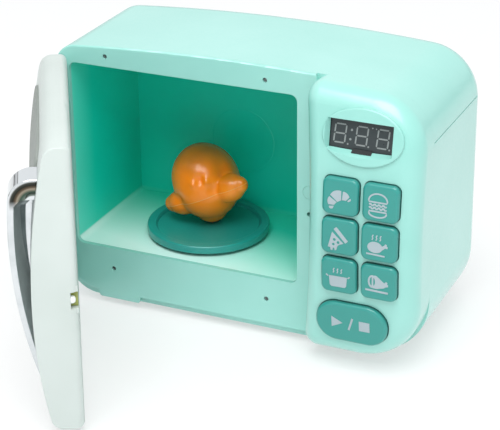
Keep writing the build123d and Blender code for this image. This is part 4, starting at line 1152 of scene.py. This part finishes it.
# %% Chicken helpers
plate_low, plate_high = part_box("turntable_plate")
PLATE_X = (plate_low[0] + plate_high[0]) / 2
PLATE_Y = (plate_low[1] + plate_high[1]) / 2
CHICKEN_LEFT = 0.001
CHICKEN_BACK = 0.005
CHICKEN_Z = 0.0750
CHICKEN_CENTRE = Vector((PLATE_X - CHICKEN_LEFT, PLATE_Y + CHICKEN_BACK, CHICKEN_Z))
ROLL = radians(24)
ACROSS = Vector((cos(ROLL), 0, sin(ROLL)))
BACKWARDS = Vector((0, 1, 0))
PARTING_UP = Vector((-sin(ROLL), 0, cos(ROLL)))


def chicken_point(across, back, up):
    """Place in the bird's own directions, in millimetres from its middle, as a point."""
    return CHICKEN_CENTRE + (ACROSS * across + BACKWARDS * back + PARTING_UP * up) * MM


def lump(bm, centre, radii, towards=None):
    """Adds an ellipsoid. Its first radius lies along towards, in the bird's directions."""
    aim = Vector(towards or (1, 0, 0)).normalized()
    along = ACROSS * aim.x + BACKWARDS * aim.y + PARTING_UP * aim.z
    frame_turn = along.to_track_quat("X", "Z").to_matrix().to_4x4()
    size = Matrix.Diagonal((*[r * MM for r in radii], 1))
    place = Matrix.Translation(chicken_point(*centre)) @ frame_turn @ size
    bmesh.ops.create_icosphere(bm, subdivisions=4, radius=1.0, matrix=place)


def merged(name, bm, voxel, smoothing):
    """One skin round all the lumps of a bmesh, remeshed and smoothed."""
    rough = bpy.data.meshes.new(name + "_rough")
    bm.to_mesh(rough)
    bm.free()
    obj = bpy.data.objects.new(name + "_rough", rough)
    bpy.context.scene.collection.objects.link(obj)
    remesh = obj.modifiers.new("remesh", "REMESH")
    remesh.mode = "VOXEL"
    remesh.voxel_size = voxel
    smooth = obj.modifiers.new("smooth", "SMOOTH")
    smooth.factor = 0.5
    smooth.iterations = smoothing
    skin = solved_mesh(obj)
    bpy.data.objects.remove(obj)
    skin.name = name
    return skin


def press(points, centre, radius, move):
    """Moves points near a place, most at its middle: a dent or a pinch."""
    middle = np.array(chicken_point(*centre))
    near = np.exp(-(((points - middle) / (radius * MM)) ** 2).sum(1))
    along = np.array(move) @ np.array([ACROSS[:], BACKWARDS[:], PARTING_UP[:]])
    return points + near[:, None] * along * MM


print("chicken stands at", [round(v, 4) for v in CHICKEN_CENTRE])

# %% [markdown]
# Each lump is written down with its middle, its three radii and the direction of the first
# one, all in the bird's own directions. What stands in PAIRS is there once on each side,
# mirrored, and the last number of a row moves both of them to the right. The dents and
# pinches come after the smoothing, each with its place, its reach and its move: where the
# strings would be between the legs, and where the legs fold against the breast. Last, what
# would sink into the plate is kept on its dish.

# %% Chicken
BREAST = ((-0.5, 0, 5.5), (23.5, 25.5, 27.5))
BELLY = ((-4, 0, -9), (13.5, 15, 16))
TAIL = ((0, 23, -3), (7, 8, 6))
SEAM_UP = -1.5
LEGS_RIGHT = 1.6
PAIRS = (
    ((9, -6, -2), (14, 14, 11), (1, -0.2, 0), 0),
    ((18.5, -9, SEAM_UP), (13, 10.2, 10.6), (1, -0.1, 0), LEGS_RIGHT),
    ((27.5, -10, SEAM_UP), (6.8, 5.6, 6.4), (1, -0.1, 0), LEGS_RIGHT),
    ((12, 3, 1), (8, 12, 10), (0.2, 1, 0), 0),
)
STRING_MARKS = (
    ((8.5, -23, 12), 3.4, (0, 2.6, 0)),
    ((13, -21, 10), 2.6, (0, -1.8, 0)),
    ((4.5, -24, 11), 2.6, (0, -1.8, 0)),
)
FOLDS = (
    ((21, -9, 9), 5.4, (-2.4, 1.4, -1.4)),
    ((14, -21, 3), 4.0, (0, 2.2, -0.9)),
)
VOXEL = 0.0008
SMOOTHING = 5
RIM_HEIGHT = 0.0023
DISH_TOP = plate_high[2] - RIM_HEIGHT
CLEARANCE = 0.0001

bird = bmesh.new()
lump(bird, *BREAST)
for side in (-1, 1):
    for (across, back, up), radii, (sideways, swing, lift), shift in PAIRS:
        lump(bird, (side * across + shift, back, up), radii, (side * sideways, swing, lift))
lump(bird, *BELLY)
lump(bird, *TAIL)
skin = merged("chicken_skin", bird, VOXEL, SMOOTHING)
points = np.array([v.co[:] for v in skin.vertices])
for place, radius, move in STRING_MARKS:
    points = press(points, place, radius, move)
for side in (-1, 1):
    for (across, back, up), radius, (sideways, swing, lift) in FOLDS:
        move = (side * sideways, swing, lift)
        points = press(points, (side * across, back, up), radius, move)
points[:, 2] = np.maximum(points[:, 2], DISH_TOP + CLEARANCE)
for vertex, place in zip(skin.vertices, points):
    vertex.co = place
for polygon in skin.polygons:
    polygon.use_smooth = True
print("chicken has", len(skin.vertices), "points")

# %% [markdown]
# The bird's plastic is glossy orange that lets a little light in. Its upper half is
# painted darker and browner, a painted shade for the top that faces the oven's dark teal
# ceiling: it follows the height above the table, and noise gives it a soft, uneven border.
# The seam is a fine raised line that is a little paler than the rest.

# %% Chicken finish
TOP_SHADE_START = 0.088
TOP_SHADE_FULL = 0.108
TOP_SHADE_UNEVEN = 0.022
SEAM_HALF = 0.00034
SEAM_HEIGHT = 0.00015
SPECKLE_SCALE = 900
CLOUD_SCALE = 48
SKIN_SCALE = 300
SKIN_DEPTH = 0.00005


def orange_with_painted_top_shade():
    """Glossy orange with painted brown shade on its upper half, and a paler seam."""
    finish = Finish("orange_painted_top_shade")
    speckle = finish.noise(SPECKLE_SCALE)
    cloud = finish.noise(CLOUD_SCALE, detail=3)
    height = finish.along("Z")
    uneven = height + (cloud - 0.5) * TOP_SHADE_UNEVEN
    # Painted shade: browner towards the top of the bird.
    top_shade = finish.spread(uneven, TOP_SHADE_START, TOP_SHADE_FULL, 0.0, 0.85)
    orange = finish.blend(cloud, srgb(246, 130, 14), srgb(252, 144, 24))
    top_shaded_orange = finish.blend(top_shade, orange, srgb(136, 94, 40))
    rise = finish.along("X") * PARTING_UP.x + height * PARTING_UP.z
    off_seam = abs(rise - PARTING_UP.dot(chicken_point(0, 0, SEAM_UP)))
    seam = finish.spread(off_seam, SEAM_HALF / 2, SEAM_HALF, 1.0, 0.0)
    skin_bump = finish.bump(finish.noise(SKIN_SCALE) * 0.7 + speckle * 0.3, SKIN_DEPTH)
    finish.feed(
        base_color=finish.blend(seam * 0.6, top_shaded_orange, srgb(255, 186, 100)),
        roughness=finish.sheen(speckle, 0.18, 0.26),
        normal=finish.bump(seam, SEAM_HEIGHT, skin_bump),
        subsurface_weight=0.12,
        subsurface_radius=(0.004, 0.0016, 0.0006),
    )
    return finish.material


chicken = link(
    bpy.data.objects.new("roast_chicken", skin), "play_chicken", orange_with_painted_top_shade()
)
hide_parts("chicken_upper_half", "chicken_lower_half")
print("the chicken stands in for both of its CAD halves")

# %% [markdown]
# ## Small moulded details
#
# The oven's back wall shows a faint raised ring and two small pin marks, left by the tool
# that moulded it. Each is given by its place from the middle of the front, its radius,
# width and height, and its number of steps. An olive strip in the door's notch is painted
# shade for the notch's shadowed inside, and a thin dark line crosses the handle's elbow
# where its two plated pieces meet.

# %% Small details
BACK_WALL_DEPTH = 0.098
BACK_WALL_Y = FACE_Y + BACK_WALL_DEPTH
FORWARDS = Vector((0, -1, 0))
RINGS = {
    "back_wall_ring": (-0.040, 0.096, 0.024, 0.0012, 0.0003, 72),
    "pin_mark_0": (-0.052, 0.150, 0.0011, 0.0006, 0.0002, 24),
    "pin_mark_1": (-0.034, 0.158, 0.0011, 0.0006, 0.0002, 24),
}
NOTCH_PLACE = (54.6, 2.3, 96.0)
NOTCH_OUTLINE = block(-2.2, 2.2, -5.3, 5.3)
NOTCH_THICKNESS = 0.0003
JOINT_PLACE = (38.3, 31.5, 168.15)
JOINT_OUTLINE = block(-8.9, 8.9, -0.2, 0.2)
JOINT_THICKNESS = 0.0001
JOINT_LEAN = radians(32.5)


def wall_ring(name, x, z, radius, width, height, steps):
    """Thin raised ring of triangular section on the oven's back wall, in metres."""
    centre = Vector((FACE_X + x, BACK_WALL_Y, z))
    side = FORWARDS.orthogonal().normalized()
    other = FORWARDS.cross(side)
    points, faces = [], []
    for i in range(steps):
        turn = 2 * pi * i / steps
        way = side * cos(turn) + other * sin(turn)
        for reach, rise in ((radius - width / 2, 0), (radius, height), (radius + width / 2, 0)):
            points.append(centre + way * reach + FORWARDS * rise)
        after = (i + 1) % steps
        for k in range(2):
            faces.append((3 * i + k, 3 * after + k, 3 * after + k + 1, 3 * i + k + 1))
    mesh = bpy.data.meshes.new(name)
    mesh.from_pydata(points, [], faces)
    for polygon in mesh.polygons:
        polygon.use_smooth = True
    link(bpy.data.objects.new(name, mesh), "housing", mint_liner)


for name, sizes in RINGS.items():
    wall_ring(name, *sizes)
# Painted shade: the olive strip stands in for the shadowed inside of the door's notch.
flat_piece(
    "notch_painted_shade",
    [[NOTCH_OUTLINE]],
    NOTCH_THICKNESS,
    on_open_door(*NOTCH_PLACE),
    DOOR_TURN @ Vector((0, 1, 0)),
    Vector((0, 0, 1)),
    "door",
    notch_shade_olive,
)
flat_piece(
    "handle_joint_line",
    [[JOINT_OUTLINE]],
    JOINT_THICKNESS,
    on_open_door(*JOINT_PLACE),
    DOOR_TURN @ Vector((1, 0, 0)),
    DOOR_TURN @ Vector((0, cos(JOINT_LEAN), sin(JOINT_LEAN))),
    "door",
    black_part,
)
print(len(RINGS), "wall marks, notch lining and joint line added")
